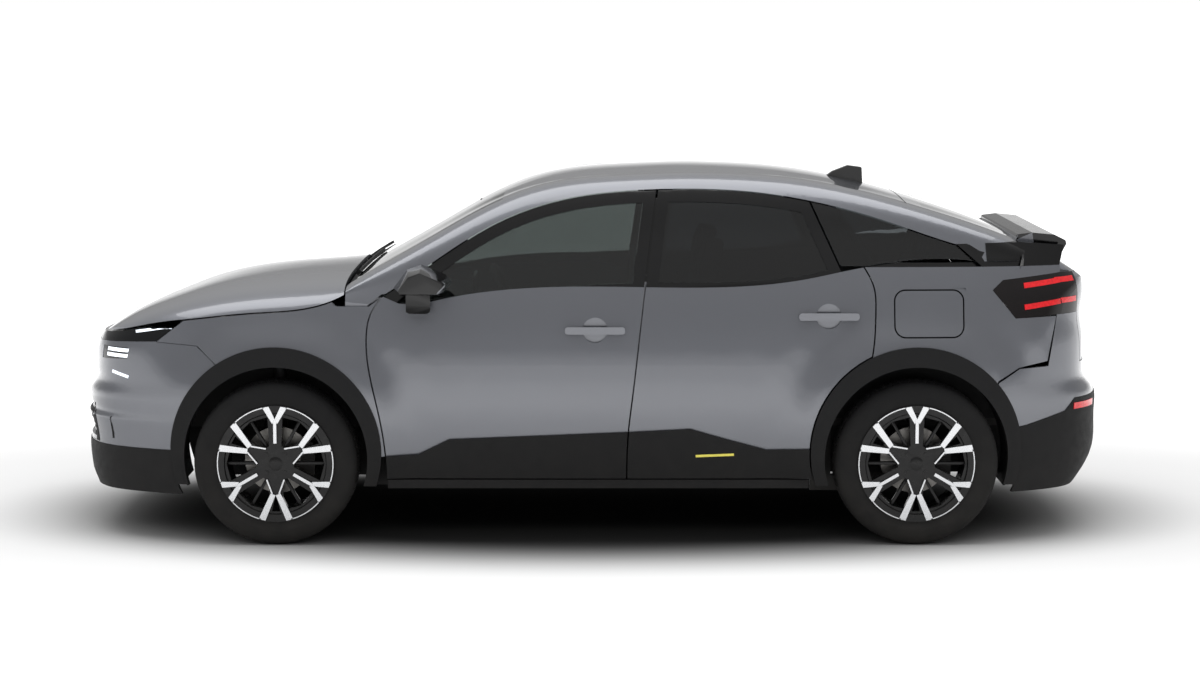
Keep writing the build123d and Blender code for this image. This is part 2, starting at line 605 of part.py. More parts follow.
KINGPIN_Y = WHEEL_Y - 140
STRUT = 26
TOWER_Z = 840
PIN_RUN = 0.06
tower = box(FRONT_AXLE - 85, FRONT_AXLE + 85, -KINGPIN_Y - 75, -APRON_Y + 30, TOWER_Z, TOWER_Z + 28)
tower = tower - Pos(FRONT_AXLE, -KINGPIN_Y, TOWER_Z) * Cylinder(STRUT + PIN_RUN, 100)
floor_pan = floor_pan + both(tower)
strut_hole = Pos(FRONT_AXLE, -KINGPIN_Y, 740) * Cylinder(STRUT + 16, 120)
arch_trims = both((front_arch_trim - strut_hole) + rear_arch_trim)

# Engine, cowl, exhaust, front subframe and rear axle
RAIL_IN = APRON_Y - 55
engine_block = fillet(box(-1820, -1330, -300, 250, 380, 860).edges(), 20)
engine_block = engine_block + box(-1600, -1520, SEAT_GAP - RAIL_IN, RAIL_IN - SEAT_GAP, 465, 505)
cowl = box(-1022, -935, -620, 620, 1000 + SEAT_GAP, 1130) & glasshouse(7 + SEAT_GAP)
exhaust = rod(90, -330, 330, 1900, 345) + rod(28, -420, -320, 1900, 345) + box(1880, 1920, -200, 200, 400,
                                                                               470 - SEAT_GAP)
BALL_PIN = 14
arm_z = 212, 244
arm_plan = make_face(Polyline((-1410, -370), (-1230, -370), (FRONT_AXLE + 40, -KINGPIN_Y - 36),
                              (FRONT_AXLE - 40, -KINGPIN_Y - 36),
                              close=True))
arm = plan(arm_plan, *arm_z) - Pos(FRONT_AXLE, -KINGPIN_Y, 240) * Cylinder(BALL_PIN + PIN_RUN, 100)
post = box(-1400, -1240, -APRON_Y + 5, -RAIL_IN + 20, 215, 440 - SEAT_GAP)
front_subframe = box(-1410, -1230, -430, 430, 215, 300) + both(arm + post)
axle_arm = side(shape((930, 190), (930, FLOOR_Z - SEAT_GAP), (1040, FLOOR_Z - SEAT_GAP), (1300, 400),
                      (1410, 400), (1410, 290),
                      (1050, 190)), 570, 612)
mirror_face = shape((-817, 1084), (-760, 1160), (-700, 1182), (-600, 1140), (-572, 1110), (-625, 1052),
                    (-790, 1052))
mirror_shell = extrude(Plane.XZ.offset(905) * mirror_face, amount=150, taper=8)
mirror_arm = inward(flank(-90) & side(Pos(-715, 1000) * RectangleRounded(100, 40, 18)), 90 - SEAT_GAP)
mirror_arm = mirror_arm + box(-765, -665, -930, -900, 985, 1075)
left_mirror = mirror_shell + mirror_arm

# Seats and fascia
SEAT_Y = 370


def seat(width, x, y, z, long, tall):
    """Seat: cushion, leaning backrest and head restraint, as one rounded body."""
    cushion = Pos(x + long / 2, y, z + 90) * Box(long, width, 180)
    back = Pos(x + long + 40, y, z + 120 + tall / 2) * Rot(0, 14, 0) * Box(130, width, tall)
    rest = Pos(x + long + 130, y, z + 130 + tall + 70) * Rot(0, 14, 0) * Box(90, width * 0.5, 190)
    return fillet(cushion.edges(), 40) + fillet(back.edges(), 40) + fillet(rest.edges(), 35)


SEAT_Z = FLOOR_Z + FLOOR + SEAT_GAP
front_seat = seat(490, -120, -SEAT_Y, 440, 500, 520) + box(-60, 340, -SEAT_Y - 200, -SEAT_Y + 200, SEAT_Z,
                                                           480)
front_seats = both(front_seat)
rear_seat = fillet((Pos(1120, 0, 580) * Box(440, 1180, 160)).edges(), 40)
rear_seat = rear_seat + fillet((Pos(1400, 0, 830) * Rot(0, 16, 0) * Box(120, 1180, 620)).edges(), 40)
rear_seat = rear_seat + box(1000, 1300, -500, 500, 500 + SEAT_GAP, 560)
dash_front = -930 + SEAT_GAP
dash_face = shape((dash_front, 560), (dash_front, 985), (-800, 1000), (-560, 960), (-500, 900), (-520, 820),
                  (-640, 700),
                  (-700, 560))
dashboard = across(dash_face, 640 - SEAT_GAP)
dashboard = dashboard + box(-700, 120, -105, 105, FLOOR_Z + 170 + SEAT_GAP, 620)

# Steering wheel on its column
COLUMN = Location((-520, -SEAT_Y, 880), (0, 65, 0))
COLUMN_RADIUS = 22
COLUMN_RUN = 0.08
steer_rim = Torus(178, 17)
steer_hub = Cylinder(62, 50)
steer_spokes = Box(42, 340, 16) + Pos(80, 0, 0) * Box(160, 42, 16)
column_rod = Pos(0, 0, -125) * Cylinder(COLUMN_RADIUS, 220)
steering_wheel = COLUMN * Pos(0, 0, 190) * (steer_rim + steer_hub + steer_spokes + column_rod)
dashboard = dashboard - COLUMN * Cylinder(COLUMN_RADIUS + COLUMN_RUN, 700)

# Wheels: tyre, alloy rim and brake disc, about their own axle
HUB_BORE = 24
HUB_RUN = 0.05
half_tread = TYRE_WIDTH / 2
tyre_face = shape((-half_tread + 8, RIM_RADIUS), (-half_tread, RIM_RADIUS + 50),
                  (-half_tread + 28, TYRE_RADIUS),
                  (half_tread - 28, TYRE_RADIUS), (half_tread, RIM_RADIUS + 50), (half_tread - 8, RIM_RADIUS))
tyre = Rot(0, 0, 90) * revolve(tyre_face, Axis.X)
rim_face = shape((-98, RIM_RADIUS + 16), (-98, RIM_RADIUS - 15), (-86, RIM_RADIUS - 22),
                 (75, RIM_RADIUS - 27),
                 (89, RIM_RADIUS - 14), (89, RIM_RADIUS - SEAT_GAP), (-91.5, RIM_RADIUS - SEAT_GAP),
                 (-94.5, RIM_RADIUS + 16))
barrel = Rot(0, 0, 90) * revolve(rim_face, Axis.X)


def polar(radius, degrees):
    """Point at a radius and angle."""
    return radius * cos(degrees * pi / 180), radius * sin(degrees * pi / 180)


SPOKE_OUT = RIM_RADIUS - 27
pocket = shape(polar(78, -11), polar(78, 11), polar(SPOKE_OUT - 4, 21), polar(SPOKE_OUT + 2, 0),
               polar(SPOKE_OUT - 4, -21))
fork = shape(polar(128, 0), polar(SPOKE_OUT, 5), polar(SPOKE_OUT, -5))
slot = shape(polar(92, -1.5), polar(92, 1.5), polar(SPOKE_OUT, 4), polar(SPOKE_OUT, -4))
spoke_face = Circle(RIM_RADIUS - 16)
for turn in range(6):
    spoke_face = spoke_face - Rot(0, 0, 60 * turn) * pocket
    spoke_face = spoke_face - Rot(0, 0, 60 * turn + 30) * (slot if turn % 2 else fork)
spokes = extrude(Plane.XZ.offset(56) * spoke_face, amount=34)
DISC_RADIUS = 140
hub = rod(76, -86, 44, 0, 0)
lugs = [rod(9, -94, -80, *polar(54, 45 + 90 * k)) for k in range(4)]
brake_disc = rod(DISC_RADIUS, 20, 42, 0, 0)
wheel = barrel + spokes + hub + brake_disc
for lug in lugs:
    wheel = wheel + lug
wheel = wheel - rod(HUB_BORE + HUB_RUN, -45, 60, 0, 0)


def caliper():
    """Brake caliper over the disc's rear edge, about the wheel centre."""
    sector = shape((90, -75), (90, 75), (155, 75), (155, -75))
    shell = (disc(165, 0, 0) - disc(95, 0, 0)) & sector
    return extrude(Plane.XZ.offset(-62) * shell, amount=56) - rod(DISC_RADIUS + 6, 14, 48, 0, 0)


spindle = rod(HUB_BORE, -42, 80, 0, 0)
knuckle_plate = side(Circle(78) + shape((60, -60), (110, -60), (110, 60), (60, 60)), -85, -50)
knuckle = spindle + knuckle_plate + caliper() + Pos(0, WHEEL_Y - KINGPIN_Y, 0) * (
    Box(90, 70, 190) + Pos(0, 0, 290) * Cylinder(STRUT, 500)
    + Pos(0, 0, -110) * Cylinder(BALL_PIN, 70))
LEFT_FRONT = Pos(FRONT_AXLE, -WHEEL_Y, TYRE_RADIUS)
LEFT_REAR = Pos(REAR_AXLE, -WHEEL_Y, TYRE_RADIUS)
rear_hub = spindle + knuckle_plate + caliper() + rod(40, 50, WHEEL_Y - 570, 0, 0)
beam = rod(42, -600, 600, 1180, 300)
rear_axle = both(axle_arm + LEFT_REAR * rear_hub) + beam

# Nodes
left = {
    "front_door": front_door, "front_door_glass": front_glass, "front_door_cladding": door_clads[0],
    "rear_door": rear_door, "rear_door_glass": rear_glass, "rear_door_cladding": door_clads[1],
    "mirror": left_mirror, "front_tyre": LEFT_FRONT * tyre, "front_wheel": LEFT_FRONT * wheel,
    "rear_tyre": LEFT_REAR * tyre, "rear_wheel": LEFT_REAR * wheel, "knuckle": LEFT_FRONT * knuckle,
}
nodes = {
    "floor_pan": floor_pan, "side_frames": left_frame + right_frame, "roof_panel": roof_panel,
    "front_fenders": front_fenders, "front_bumper": front_bumper, "rear_bumper": rear_bumper,
    "bumper_trim": bumper_trim, "arch_trims": arch_trims, "windscreen": windscreen,
    "quarter_windows": quarter_windows, "headlamps": headlamps, "tail_lamps": tail_lamps, "engine_block": engine_block,
    "front_subframe": front_subframe, "rear_axle": rear_axle, "exhaust": exhaust, "front_seats": front_seats,
    "rear_seat": rear_seat, "dashboard": dashboard, "cowl": cowl, "bonnet": bonnet, "tailgate": tailgate,
    "rear_window": rear_window, "fuel_flap": fuel_flap, "steering_wheel": steering_wheel,
}
for name, part in left.items():
    nodes["left_" + name] = part
    nodes["right_" + name] = mirror(part, Plane.XZ)

os.makedirs("parts", exist_ok=True)
for name, part in nodes.items():
    export_step(part, f"parts/{name}.step")
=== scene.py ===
"""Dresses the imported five-door hatchback and sets it in a pale studio."""

from __future__ import annotations

import json
import logging
import math
from collections.abc import Callable, Sequence
from dataclasses import dataclass
from enum import Enum

import bmesh
import bpy
import numpy as np
from mathutils import Matrix, Vector
from mathutils.bvhtree import BVHTree

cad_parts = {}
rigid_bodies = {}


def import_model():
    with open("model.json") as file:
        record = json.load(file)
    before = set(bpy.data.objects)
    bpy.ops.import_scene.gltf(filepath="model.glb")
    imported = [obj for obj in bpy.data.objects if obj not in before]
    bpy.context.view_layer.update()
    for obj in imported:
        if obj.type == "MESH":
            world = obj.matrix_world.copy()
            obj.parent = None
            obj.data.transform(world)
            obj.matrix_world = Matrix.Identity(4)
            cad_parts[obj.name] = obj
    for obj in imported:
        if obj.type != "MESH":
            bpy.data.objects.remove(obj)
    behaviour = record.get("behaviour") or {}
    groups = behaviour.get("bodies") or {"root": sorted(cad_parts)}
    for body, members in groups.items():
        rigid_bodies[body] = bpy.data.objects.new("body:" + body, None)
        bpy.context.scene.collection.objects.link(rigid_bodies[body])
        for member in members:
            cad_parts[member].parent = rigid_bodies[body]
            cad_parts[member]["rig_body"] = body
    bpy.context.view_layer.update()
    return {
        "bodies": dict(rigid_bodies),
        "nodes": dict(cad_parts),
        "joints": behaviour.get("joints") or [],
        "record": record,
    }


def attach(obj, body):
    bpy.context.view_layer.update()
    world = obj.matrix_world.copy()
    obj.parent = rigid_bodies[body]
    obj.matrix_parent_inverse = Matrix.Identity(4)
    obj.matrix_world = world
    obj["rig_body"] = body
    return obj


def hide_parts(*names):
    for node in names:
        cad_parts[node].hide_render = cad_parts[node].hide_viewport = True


LOG = logging.getLogger("hatchback")

Mesh = bmesh.types.BMesh
Node = bpy.types.Node
Socket = bpy.types.NodeSocket
Tree = bpy.types.NodeTree
Colour = tuple[int, int, int]
Point = tuple[float, float]
Triple = tuple[float, float, float]
Rows = tuple[tuple[Triple, ...], ...]
FaceTest = Callable[[np.ndarray], np.ndarray]

FRONT_AXLE = -1.317
REAR_AXLE = 1.353
WHEEL_Y = 0.780
AXLE_Z = 0.345
ORIGIN = (0.0, 0.0, 0.0)
OTHER_SIDE = (1, -1, 1)
WELD = 1e-5
WHITE = (1, 1, 1, 1)


def linear(colour: Colour) -> tuple[float, float, float, float]:
    """Turns a screen colour into the values that a shader takes.

    Args:
        colour: Red, green and blue from 0 to 255.

    Returns:
        The linear colour with full alpha.
    """
    parts = [c / 255 for c in colour]
    values = [c / 12.92 if c <= 0.04045 else ((c + 0.055) / 1.055) ** 2.4 for c in parts]
    return values[0], values[1], values[2], 1.0


@dataclass(frozen=True)
class Graph:
    """A shader tree with short ways to add nodes and to link them."""

    tree: Tree

    def feed(self, node: Node, inputs: dict[str | int, object]) -> None:
        """Links sockets to a node's inputs and sets its other inputs.

        Args:
            node: The node.
            inputs: Sockets or values, by the input's name or number.
        """
        for label, value in inputs.items():
            if isinstance(value, Socket):
                self.tree.links.new(value, node.inputs[label])
            else:
                node.inputs[label].default_value = value

    def add(
        self, kind: str, inputs: dict[str | int, object] | None = None, **settings: object
    ) -> Node:
        """Adds a node.

        Args:
            kind: Its type, without the common beginning.
            inputs: Sockets or values, by the input's name or number.
            settings: Its own properties.

        Returns:
            The node.
        """
        node = self.tree.nodes.new("ShaderNode" + kind)
        for label, value in settings.items():
            setattr(node, label, value)
        self.feed(node, inputs or {})
        return node

    def math(self, operation: str, first: object, second: object) -> Socket:
        """Adds a sum on two sockets or numbers.

        Args:
            operation: What is done with them.
            first: The first one.
            second: The second one.

        Returns:
            The result.
        """
        return self.add("Math", {0: first, 1: second}, operation=operation).outputs[0]


class Effect(Enum):
    """Surface effects that several finishes share as node groups."""

    MOTTLE = "mottle"
    GRAIN = "moulded grain"
    WEAVE = "woven cloth"
    DUST = "road dust"


class EffectShelf:
    """Builds each shared effect once and keeps its node group."""

    socket_kinds = {"Place": "NodeSocketVector", "Colour": "NodeSocketColor"}
    noise_span = {"From Min": 0.3, "From Max": 0.7}
    dust_fall = {"From Min": 0.0, "From Max": 0.65, "To Min": 1.0, "To Max": 0.0}
    dust_cloud = {"Scale": 14, "Detail": 6}
    dust_colour = (150, 143, 132)

    def __init__(self) -> None:
        """Makes the groups."""
        self.groups: dict[Effect, Tree] = {
            Effect.MOTTLE: self.mottle(),
            Effect.GRAIN: self.grain(),
            Effect.WEAVE: self.weave(),
            Effect.DUST: self.dust(),
        }

    def place(self, graph: Graph, effect: Effect, values: dict[str, object]) -> bpy.types.NodeOutputs:
        """Puts a shared effect into a material.

        Args:
            graph: The material's tree.
            effect: The effect.
            values: Its inputs, as numbers, colours or sockets.

        Returns:
            The outputs of its group node.
        """
        return graph.add("Group", values, node_tree=self.groups[effect]).outputs

    def start(
        self, effect: Effect, inputs: Sequence[str], outputs: Sequence[str]
    ) -> tuple[Graph, bpy.types.NodeOutputs, Node]:
        """Opens a node group with named sockets.

        Args:
            effect: The effect that the group makes.
            inputs: Names of its inputs.
            outputs: Names of its outputs.

        Returns:
            The tree, its inputs and its output node.
        """
        tree = bpy.data.node_groups.new(effect.value, "ShaderNodeTree")
        for side, labels in (("INPUT", inputs), ("OUTPUT", outputs)):
            for label in labels:
                kind = self.socket_kinds.get(label, "NodeSocketFloat")
                tree.interface.new_socket(label, in_out=side, socket_type=kind)
        source = tree.nodes.new("NodeGroupInput")
        return Graph(tree), source.outputs, tree.nodes.new("NodeGroupOutput")

    def spread(
        self,
        graph: Graph,
        noise: Socket,
        middle: Socket | float,
        width: Socket,
    ) -> Socket:
        """Maps a noise value to a middle value give or take a width.

        Args:
            graph: The group's tree.
            noise: The noise.
            middle: The value that the noise varies about.
            width: How far it varies to each side.

        Returns:
            The varied value.
        """
        ends = {"To Min": graph.math("SUBTRACT", middle, width), "To Max": graph.math("ADD", middle, width)}
        return graph.add("MapRange", {"Value": noise, **self.noise_span, **ends}).outputs[0]

    def mottle(self) -> Tree:
        """Varies a colour and a roughness over the surface.

        Returns:
            The node group.
        """
        labels = ("Place", "Colour", "Scale", "Amount", "Rough", "Spread")
        graph, source, sink = self.start(Effect.MOTTLE, labels, ("Colour", "Rough"))
        cloud = {"Vector": source["Place"], "Scale": source["Scale"], "Detail": 4}
        noise = graph.add("TexNoise", cloud).outputs[0]
        shade = self.spread(graph, noise, 1.0, source["Amount"])
        tint = graph.add("VectorMath", {0: source["Colour"], "Scale": shade}, operation="SCALE")
        rough = self.spread(graph, noise, source["Rough"], source["Spread"])
        graph.feed(sink, {"Colour": tint.outputs[0], "Rough": rough})
        return graph.tree

    def grain(self) -> Tree:
        """Pebbled height of moulded plastic, leather or cast metal.

        Returns:
            The node group.
        """
        graph, source, sink = self.start(Effect.GRAIN, ("Place", "Scale"), ("Height",))
        pebbles = graph.add("TexVoronoi", {"Vector": source["Place"], "Scale": source["Scale"]})
        graph.feed(sink, {"Height": pebbles.outputs["Distance"]})
        return graph.tree

    def weave(self) -> Tree:
        """Height of threads that cross in all three directions.

        Returns:
            The node group.
        """
        graph, source, sink = self.start(Effect.WEAVE, ("Place", "Scale"), ("Height",))
        lie = {"Vector": source["Place"], "Scale": source["Scale"]}
        x, y, z = (graph.add("TexWave", lie, bands_direction=axis).outputs["Fac"] for axis in "XYZ")
        graph.feed(sink, {"Height": graph.math("ADD", graph.math("ADD", x, y), z)})
        return graph.tree

    def dust(self) -> Tree:
        """Pale dust that gathers towards the road.

        Returns:
            The node group.
        """
        graph, source, sink = self.start(Effect.DUST, ("Place", "Colour", "Amount"), ("Colour",))
        split = graph.add("SeparateXYZ", {0: source["Place"]})
        height = graph.add("MapRange", {"Value": split.outputs["Z"], **self.dust_fall})
        cloud = graph.add("TexNoise", {"Vector": source["Place"], **self.dust_cloud})
        mask = graph.math("MULTIPLY", height.outputs[0], cloud.outputs[0])
        mask = graph.math("MULTIPLY", mask, source["Amount"])
        layers = {0: mask, 6: source["Colour"], 7: linear(self.dust_colour)}
        graph.feed(sink, {"Colour": graph.add("Mix", layers, data_type="RGBA").outputs[2]})
        return graph.tree


@dataclass(frozen=True)
class Finish:
    """One procedural surface of the car."""

    name: str
    colour: Colour
    mottle: float = 0.08
    mottle_scale: float = 30.0
    rough: float = 0.45
    rough_spread: float = 0.06
    metallic: float = 0.0
    coat: float = 0.0
    coat_rough: float = 0.03
    specular: float = 0.5
    clear: float = 0.0
    glow: float = 0.0
    sheen: float = 0.0
    dust: float = 0.0
    bump: float = 0.0
    bump_scale: float = 700.0
    bump_height: float = 0.001
    bump_effect: Effect = Effect.GRAIN

    def build(self, shelf: EffectShelf) -> bpy.types.Material:
        """Makes the material.

        Args:
            shelf: Where the shared effects are kept.

        Returns:
            The finished material.
        """
        material = bpy.data.materials.new(self.name)
        material.use_nodes = True
        graph = Graph(material.node_tree)
        where = graph.add("TexCoord").outputs["Object"]
        mottle = shelf.place(graph, Effect.MOTTLE, {
            "Place": where, "Colour": linear(self.colour), "Scale": self.mottle_scale,
            "Amount": self.mottle, "Rough": self.rough, "Spread": self.rough_spread,
        })
        colour = mottle["Colour"]
        if self.dust:
            values = {"Place": where, "Colour": colour, "Amount": self.dust}
            colour = shelf.place(graph, Effect.DUST, values)["Colour"]
        inputs = {
            "Base Color": colour, "Roughness": mottle["Rough"], "Metallic": self.metallic,
            "Specular IOR Level": self.specular, "Coat Weight": self.coat, "Coat Roughness": self.coat_rough,
            "Sheen Weight": self.sheen, "Transmission Weight": self.clear,
        }
        if self.bump:
            values = {"Place": where, "Scale": self.bump_scale}
            height = shelf.place(graph, self.bump_effect, values)["Height"]
            relief = {"Strength": self.bump, "Distance": self.bump_height, "Height": height}
            inputs["Normal"] = graph.add("Bump", relief).outputs[0]
        if self.glow:
            inputs.update({"Emission Color": colour, "Emission Strength": self.glow})
        graph.feed(material.node_tree.nodes["Principled BSDF"], inputs)
        return material


PAINT = Finish("grey_paint", (103, 105, 111), mottle=0.05, mottle_scale=900, rough=0.33,
               rough_spread=0.03, metallic=0.6, coat=1.0)
BLACK_PLASTIC = Finish("black_plastic", (19, 19, 20), mottle=0.15, rough=0.6, specular=0.22, dust=0.04,
                       bump=0.25, bump_scale=900)
GLOSS_BLACK = Finish("gloss_black", (7, 7, 8), mottle=0.15, rough=0.1, rough_spread=0.03, specular=0.3,
                     coat=0.2)
CLEAR_GLASS = Finish("clear_glass", (120, 127, 125), mottle=0.02, mottle_scale=3, rough=0.01,
                     rough_spread=0.008, clear=1.0, specular=0.3)
DARK_GLASS = Finish("dark_glass", (62, 66, 68), mottle=0.04, mottle_scale=3, rough=0.01,
                    rough_spread=0.008, clear=1.0, specular=0.25)
LAMP_LENS = Finish("lamp_lens", (14, 15, 17), mottle=0.15, mottle_scale=60, rough=0.08, rough_spread=0.02,
                   specular=0.3, coat=0.3)
LED_WHITE = Finish("led_white", (236, 242, 250), mottle=0.05, mottle_scale=220, rough=0.2, glow=0.9)
LAMP_CHROME = Finish("lamp_chrome", (190, 193, 198), mottle=0.08, mottle_scale=120, rough=0.12,
                     rough_spread=0.03, metallic=1.0)
TAIL_HOUSING = Finish("tail_housing", (14, 9, 10), mottle=0.15, rough=0.08, rough_spread=0.02,
                      specular=0.3, coat=0.3)
TAIL_RED = Finish("tail_red", (196, 18, 26), mottle=0.2, mottle_scale=90, rough=0.12, glow=0.35, coat=0.5)
MACHINED = Finish("machined_alloy", (206, 207, 209), mottle=0.05, mottle_scale=260, rough=0.28,
                  rough_spread=0.05, metallic=1.0)
WHEEL_BLACK = Finish("wheel_black", (12, 12, 13), mottle=0.15, rough=0.3, specular=0.3, dust=0.03)
DISC_STEEL = Finish("disc_steel", (118, 116, 113), mottle=0.12, mottle_scale=90, rough=0.35, metallic=1.0)
RUBBER = Finish("tyre_rubber", (18, 18, 19), mottle=0.2, mottle_scale=18, rough=0.75, specular=0.25,
                dust=0.07, bump=0.2, bump_scale=1200)
CLOTH = Finish("seat_cloth", (46, 47, 50), mottle=0.15, mottle_scale=60, rough=0.9, sheen=0.3, bump=0.6,
               bump_scale=320, bump_effect=Effect.WEAVE)
SOFT_PLASTIC = Finish("soft_plastic", (38, 38, 40), mottle=0.1, rough=0.62, specular=0.3, bump=0.35,
                      bump_scale=500)
LEATHER = Finish("wheel_leather", (26, 26, 27), mottle=0.15, rough=0.5, specular=0.4, bump=0.5,
                 bump_scale=420)
SCREEN = Finish("dark_screen", (8, 9, 12), mottle=0.2, mottle_scale=8, rough=0.05, rough_spread=0.02,
                coat=0.5)
CHASSIS = Finish("chassis_coat", (34, 34, 35), mottle=0.2, mottle_scale=20, rough=0.6, specular=0.3,
                 dust=0.2, bump=0.3, bump_scale=260)
CAST = Finish("cast_metal", (120, 120, 120), mottle=0.15, rough=0.5, metallic=0.8, bump=0.5, bump_scale=200)
STEEL = Finish("exhaust_steel", (128, 122, 116), mottle=0.2, mottle_scale=12, rough=0.4, metallic=1.0,
               dust=0.2)
# The accent stripe glows a little though it is no lamp: painted light that brightens it.
YELLOW = Finish("accent_yellow", (226, 214, 92), mottle=0.06, rough=0.4, glow=0.1)


def everything(bm: Mesh) -> list:
    """Gives all geometry of a mesh under work."""
    return [*bm.verts, *bm.edges, *bm.faces]


def join(bm: Mesh, *others: Mesh) -> Mesh:
    """Adds other meshes under work to one and frees them.

    Args:
        bm: The mesh that grows.
        others: The meshes that are added.

    Returns:
        The grown mesh.
    """
    for other in others:
        mesh = bpy.data.meshes.new("joined")
        other.to_mesh(mesh)
        other.free()
        bm.from_mesh(mesh)
        bpy.data.meshes.remove(mesh)
    return bm


def thicken(bm: Mesh, depth: Triple) -> None:
    """Gives a sheet a back.

    Args:
        bm: The sheet.
        depth: The way from its front to its back.
    """
    back = bmesh.ops.extrude_face_region(bm, geom=bm.faces[:])["geom"]
    moved = [g for g in back if isinstance(g, bmesh.types.BMVert)]
    bmesh.ops.translate(bm, vec=depth, verts=moved)
    bmesh.ops.recalc_face_normals(bm, faces=bm.faces)


def flip(bm: Mesh, geom: Sequence) -> None:
    """Moves left-hand geometry to the car's right side.

    Args:
        bm: The mesh under work.
        geom: What is moved.
    """
    verts = [g for g in geom if isinstance(g, bmesh.types.BMVert)]
    faces = [g for g in geom if isinstance(g, bmesh.types.BMFace)]
    bmesh.ops.scale(bm, vec=OTHER_SIDE, verts=verts)
    bmesh.ops.reverse_faces(bm, faces=faces)


def add_mirror(bm: Mesh) -> None:
    """Adds the image of a left-hand mesh on the car's right side.

    Args:
        bm: The mesh under work.
    """
    flip(bm, bmesh.ops.duplicate(bm, geom=everything(bm))["geom"])


def turned(section: Sequence[Point], steps: int, closed: bool) -> Mesh:
    """Turns a section once round the car's width.

    Args:
        section: Its points as distance along the axle and radius.
        steps: Number of steps of the turn.
        closed: Whether its last point joins the first one.

    Returns:
        The turned form.
    """
    bm = bmesh.new()
    verts = [bm.verts.new((0, y, r)) for y, r in section]
    edges = [bm.edges.new(pair) for pair in zip(verts, verts[1:] + verts[:1] * closed)]
    bmesh.ops.spin(bm, geom=[*verts, *edges], cent=ORIGIN, axis=(0, 1, 0), dvec=ORIGIN, angle=math.tau,
                   steps=steps, use_merge=True, use_duplicate=False)
    bmesh.ops.remove_doubles(bm, verts=bm.verts, dist=WELD)
    return bm


def strip(start: Point, end: Point, width: float) -> tuple[Point, ...]:
    """Outline of a straight bar.

    Args:
        start: Middle of one end.
        end: Middle of the other end.
        width: Width of the bar.

    Returns:
        Its four corners.
    """
    run = Vector((end[0] - start[0], end[1] - start[1]))
    across = Vector((-run.y, run.x)).normalized() * width / 2
    ends = (Vector(start) - across, Vector(end) - across, Vector(end) + across, Vector(start) + across)
    return tuple((p.x, p.y) for p in ends)


def rounded_block(size: Triple, middle: Triple, radius: float, segments: int = 3) -> Mesh:
    """A block with rounded edges.

    Args:
        size: Its full sizes.
        middle: Its centre.
        radius: Rounding of its edges.
        segments: Steps of the rounding.

    Returns:
        The block.
    """
    bm = bmesh.new()
    bmesh.ops.create_cube(bm, size=1.0)
    bmesh.ops.scale(bm, vec=size, verts=bm.verts)
    bmesh.ops.bevel(bm, geom=bm.edges[:], offset=radius, offset_type="OFFSET", affect="EDGES",
                    segments=segments, profile=0.5, material=-1)
    bmesh.ops.translate(bm, vec=middle, verts=bm.verts)
    return bm


def between(values: np.ndarray, low: float, high: float) -> np.ndarray:
    """Tells which values lie between two others."""
    return (values > low) & (values < high)


def falling(x: np.ndarray, line: Triple) -> np.ndarray:
    """Height of a line that falls to the rear, given by a place, its height there and its slope."""
    return line[1] - line[2] * (x - line[0])


def bulge(place: np.ndarray, shape: Triple) -> np.ndarray:
    """Parabola given by its height at a reach, its middle and that reach."""
    return shape[0] * ((place - shape[1]) / shape[2]) ** 2


class Facing(Enum):
    """Sides that a patch can lie on: its two outline directions and its outward one."""

    LEFT = ((1, 0, 0), (0, 0, 1), (0, -1, 0))
    FRONT = ((0, 1, 0), (0, 0, 1), (-1, 0, 0))
    REAR = ((0, 1, 0), (0, 0, 1), (1, 0, 0))
    TOP = ((1, 0, 0), (0, 1, 0), (0, 0, 1))


@dataclass(frozen=True)
class Patch:
    """A thin raised area that follows a surface inside a convex outline."""

    outline: tuple[Point, ...]
    facing: Facing
    lift: float = 0.0008
    thick: float = 0.002
    cells: tuple[int, int] = (30, 8)
    ray_start: float = 4.0
    ray_miss: float = 3.2

    def sheet(self) -> Mesh:
        """Cuts the outline from a flat grid.

        Returns:
            The flat sheet.
        """
        low = Vector((min(p[0] for p in self.outline), min(p[1] for p in self.outline), 0))
        high = Vector((max(p[0] for p in self.outline), max(p[1] for p in self.outline), 0))
        size, middle = high - low, (high + low) / 2
        bm = bmesh.new()
        bmesh.ops.create_grid(bm, x_segments=self.cells[0], y_segments=self.cells[1], size=0.5)
        bmesh.ops.scale(bm, vec=(size.x, size.y, 1), verts=bm.verts)
        bmesh.ops.translate(bm, vec=middle, verts=bm.verts)
        for (x0, y0), (x1, y1) in zip(self.outline, self.outline[1:] + self.outline[:1]):
            away = Vector((y1 - y0, x0 - x1, 0))
            if away.dot(middle - Vector((x0, y0, 0))) > 0:
                away.negate()
            bmesh.ops.bisect_plane(bm, geom=everything(bm), plane_co=(x0, y0, 0), plane_no=away,
                                   clear_outer=True)
        return bm

    def build(self, surface: BVHTree) -> Mesh:
        """Lays the outline on a surface and thickens it.

        Args:
            surface: What the patch lies on.

        Returns:
            The patch.
        """
        along, up, out = (Vector(v) for v in self.facing.value)
        bm = self.sheet()
        for vert in bm.verts:
            start = along * vert.co.x + up * vert.co.y + out * self.ray_start
            hit, normal, _, _ = surface.ray_cast(start, -out)
            if hit is None:
                hit, normal, _, _ = surface.find_nearest(start - out * self.ray_miss)
            vert.co = hit + normal * self.lift
        if along.cross(up).dot(out) < 0:
            bmesh.ops.reverse_faces(bm, faces=bm.faces)
        shell = bmesh.ops.extrude_face_region(bm, geom=bm.faces[:])["geom"]
        top = [g for g in shell if isinstance(g, bmesh.types.BMVert)]
        for vert in top:
            vert.normal_update()
        for vert, normal in [(vert, vert.normal.copy()) for vert in top]:
            vert.co += normal * self.thick
        bmesh.ops.recalc_face_normals(bm, faces=bm.faces)
        return bm


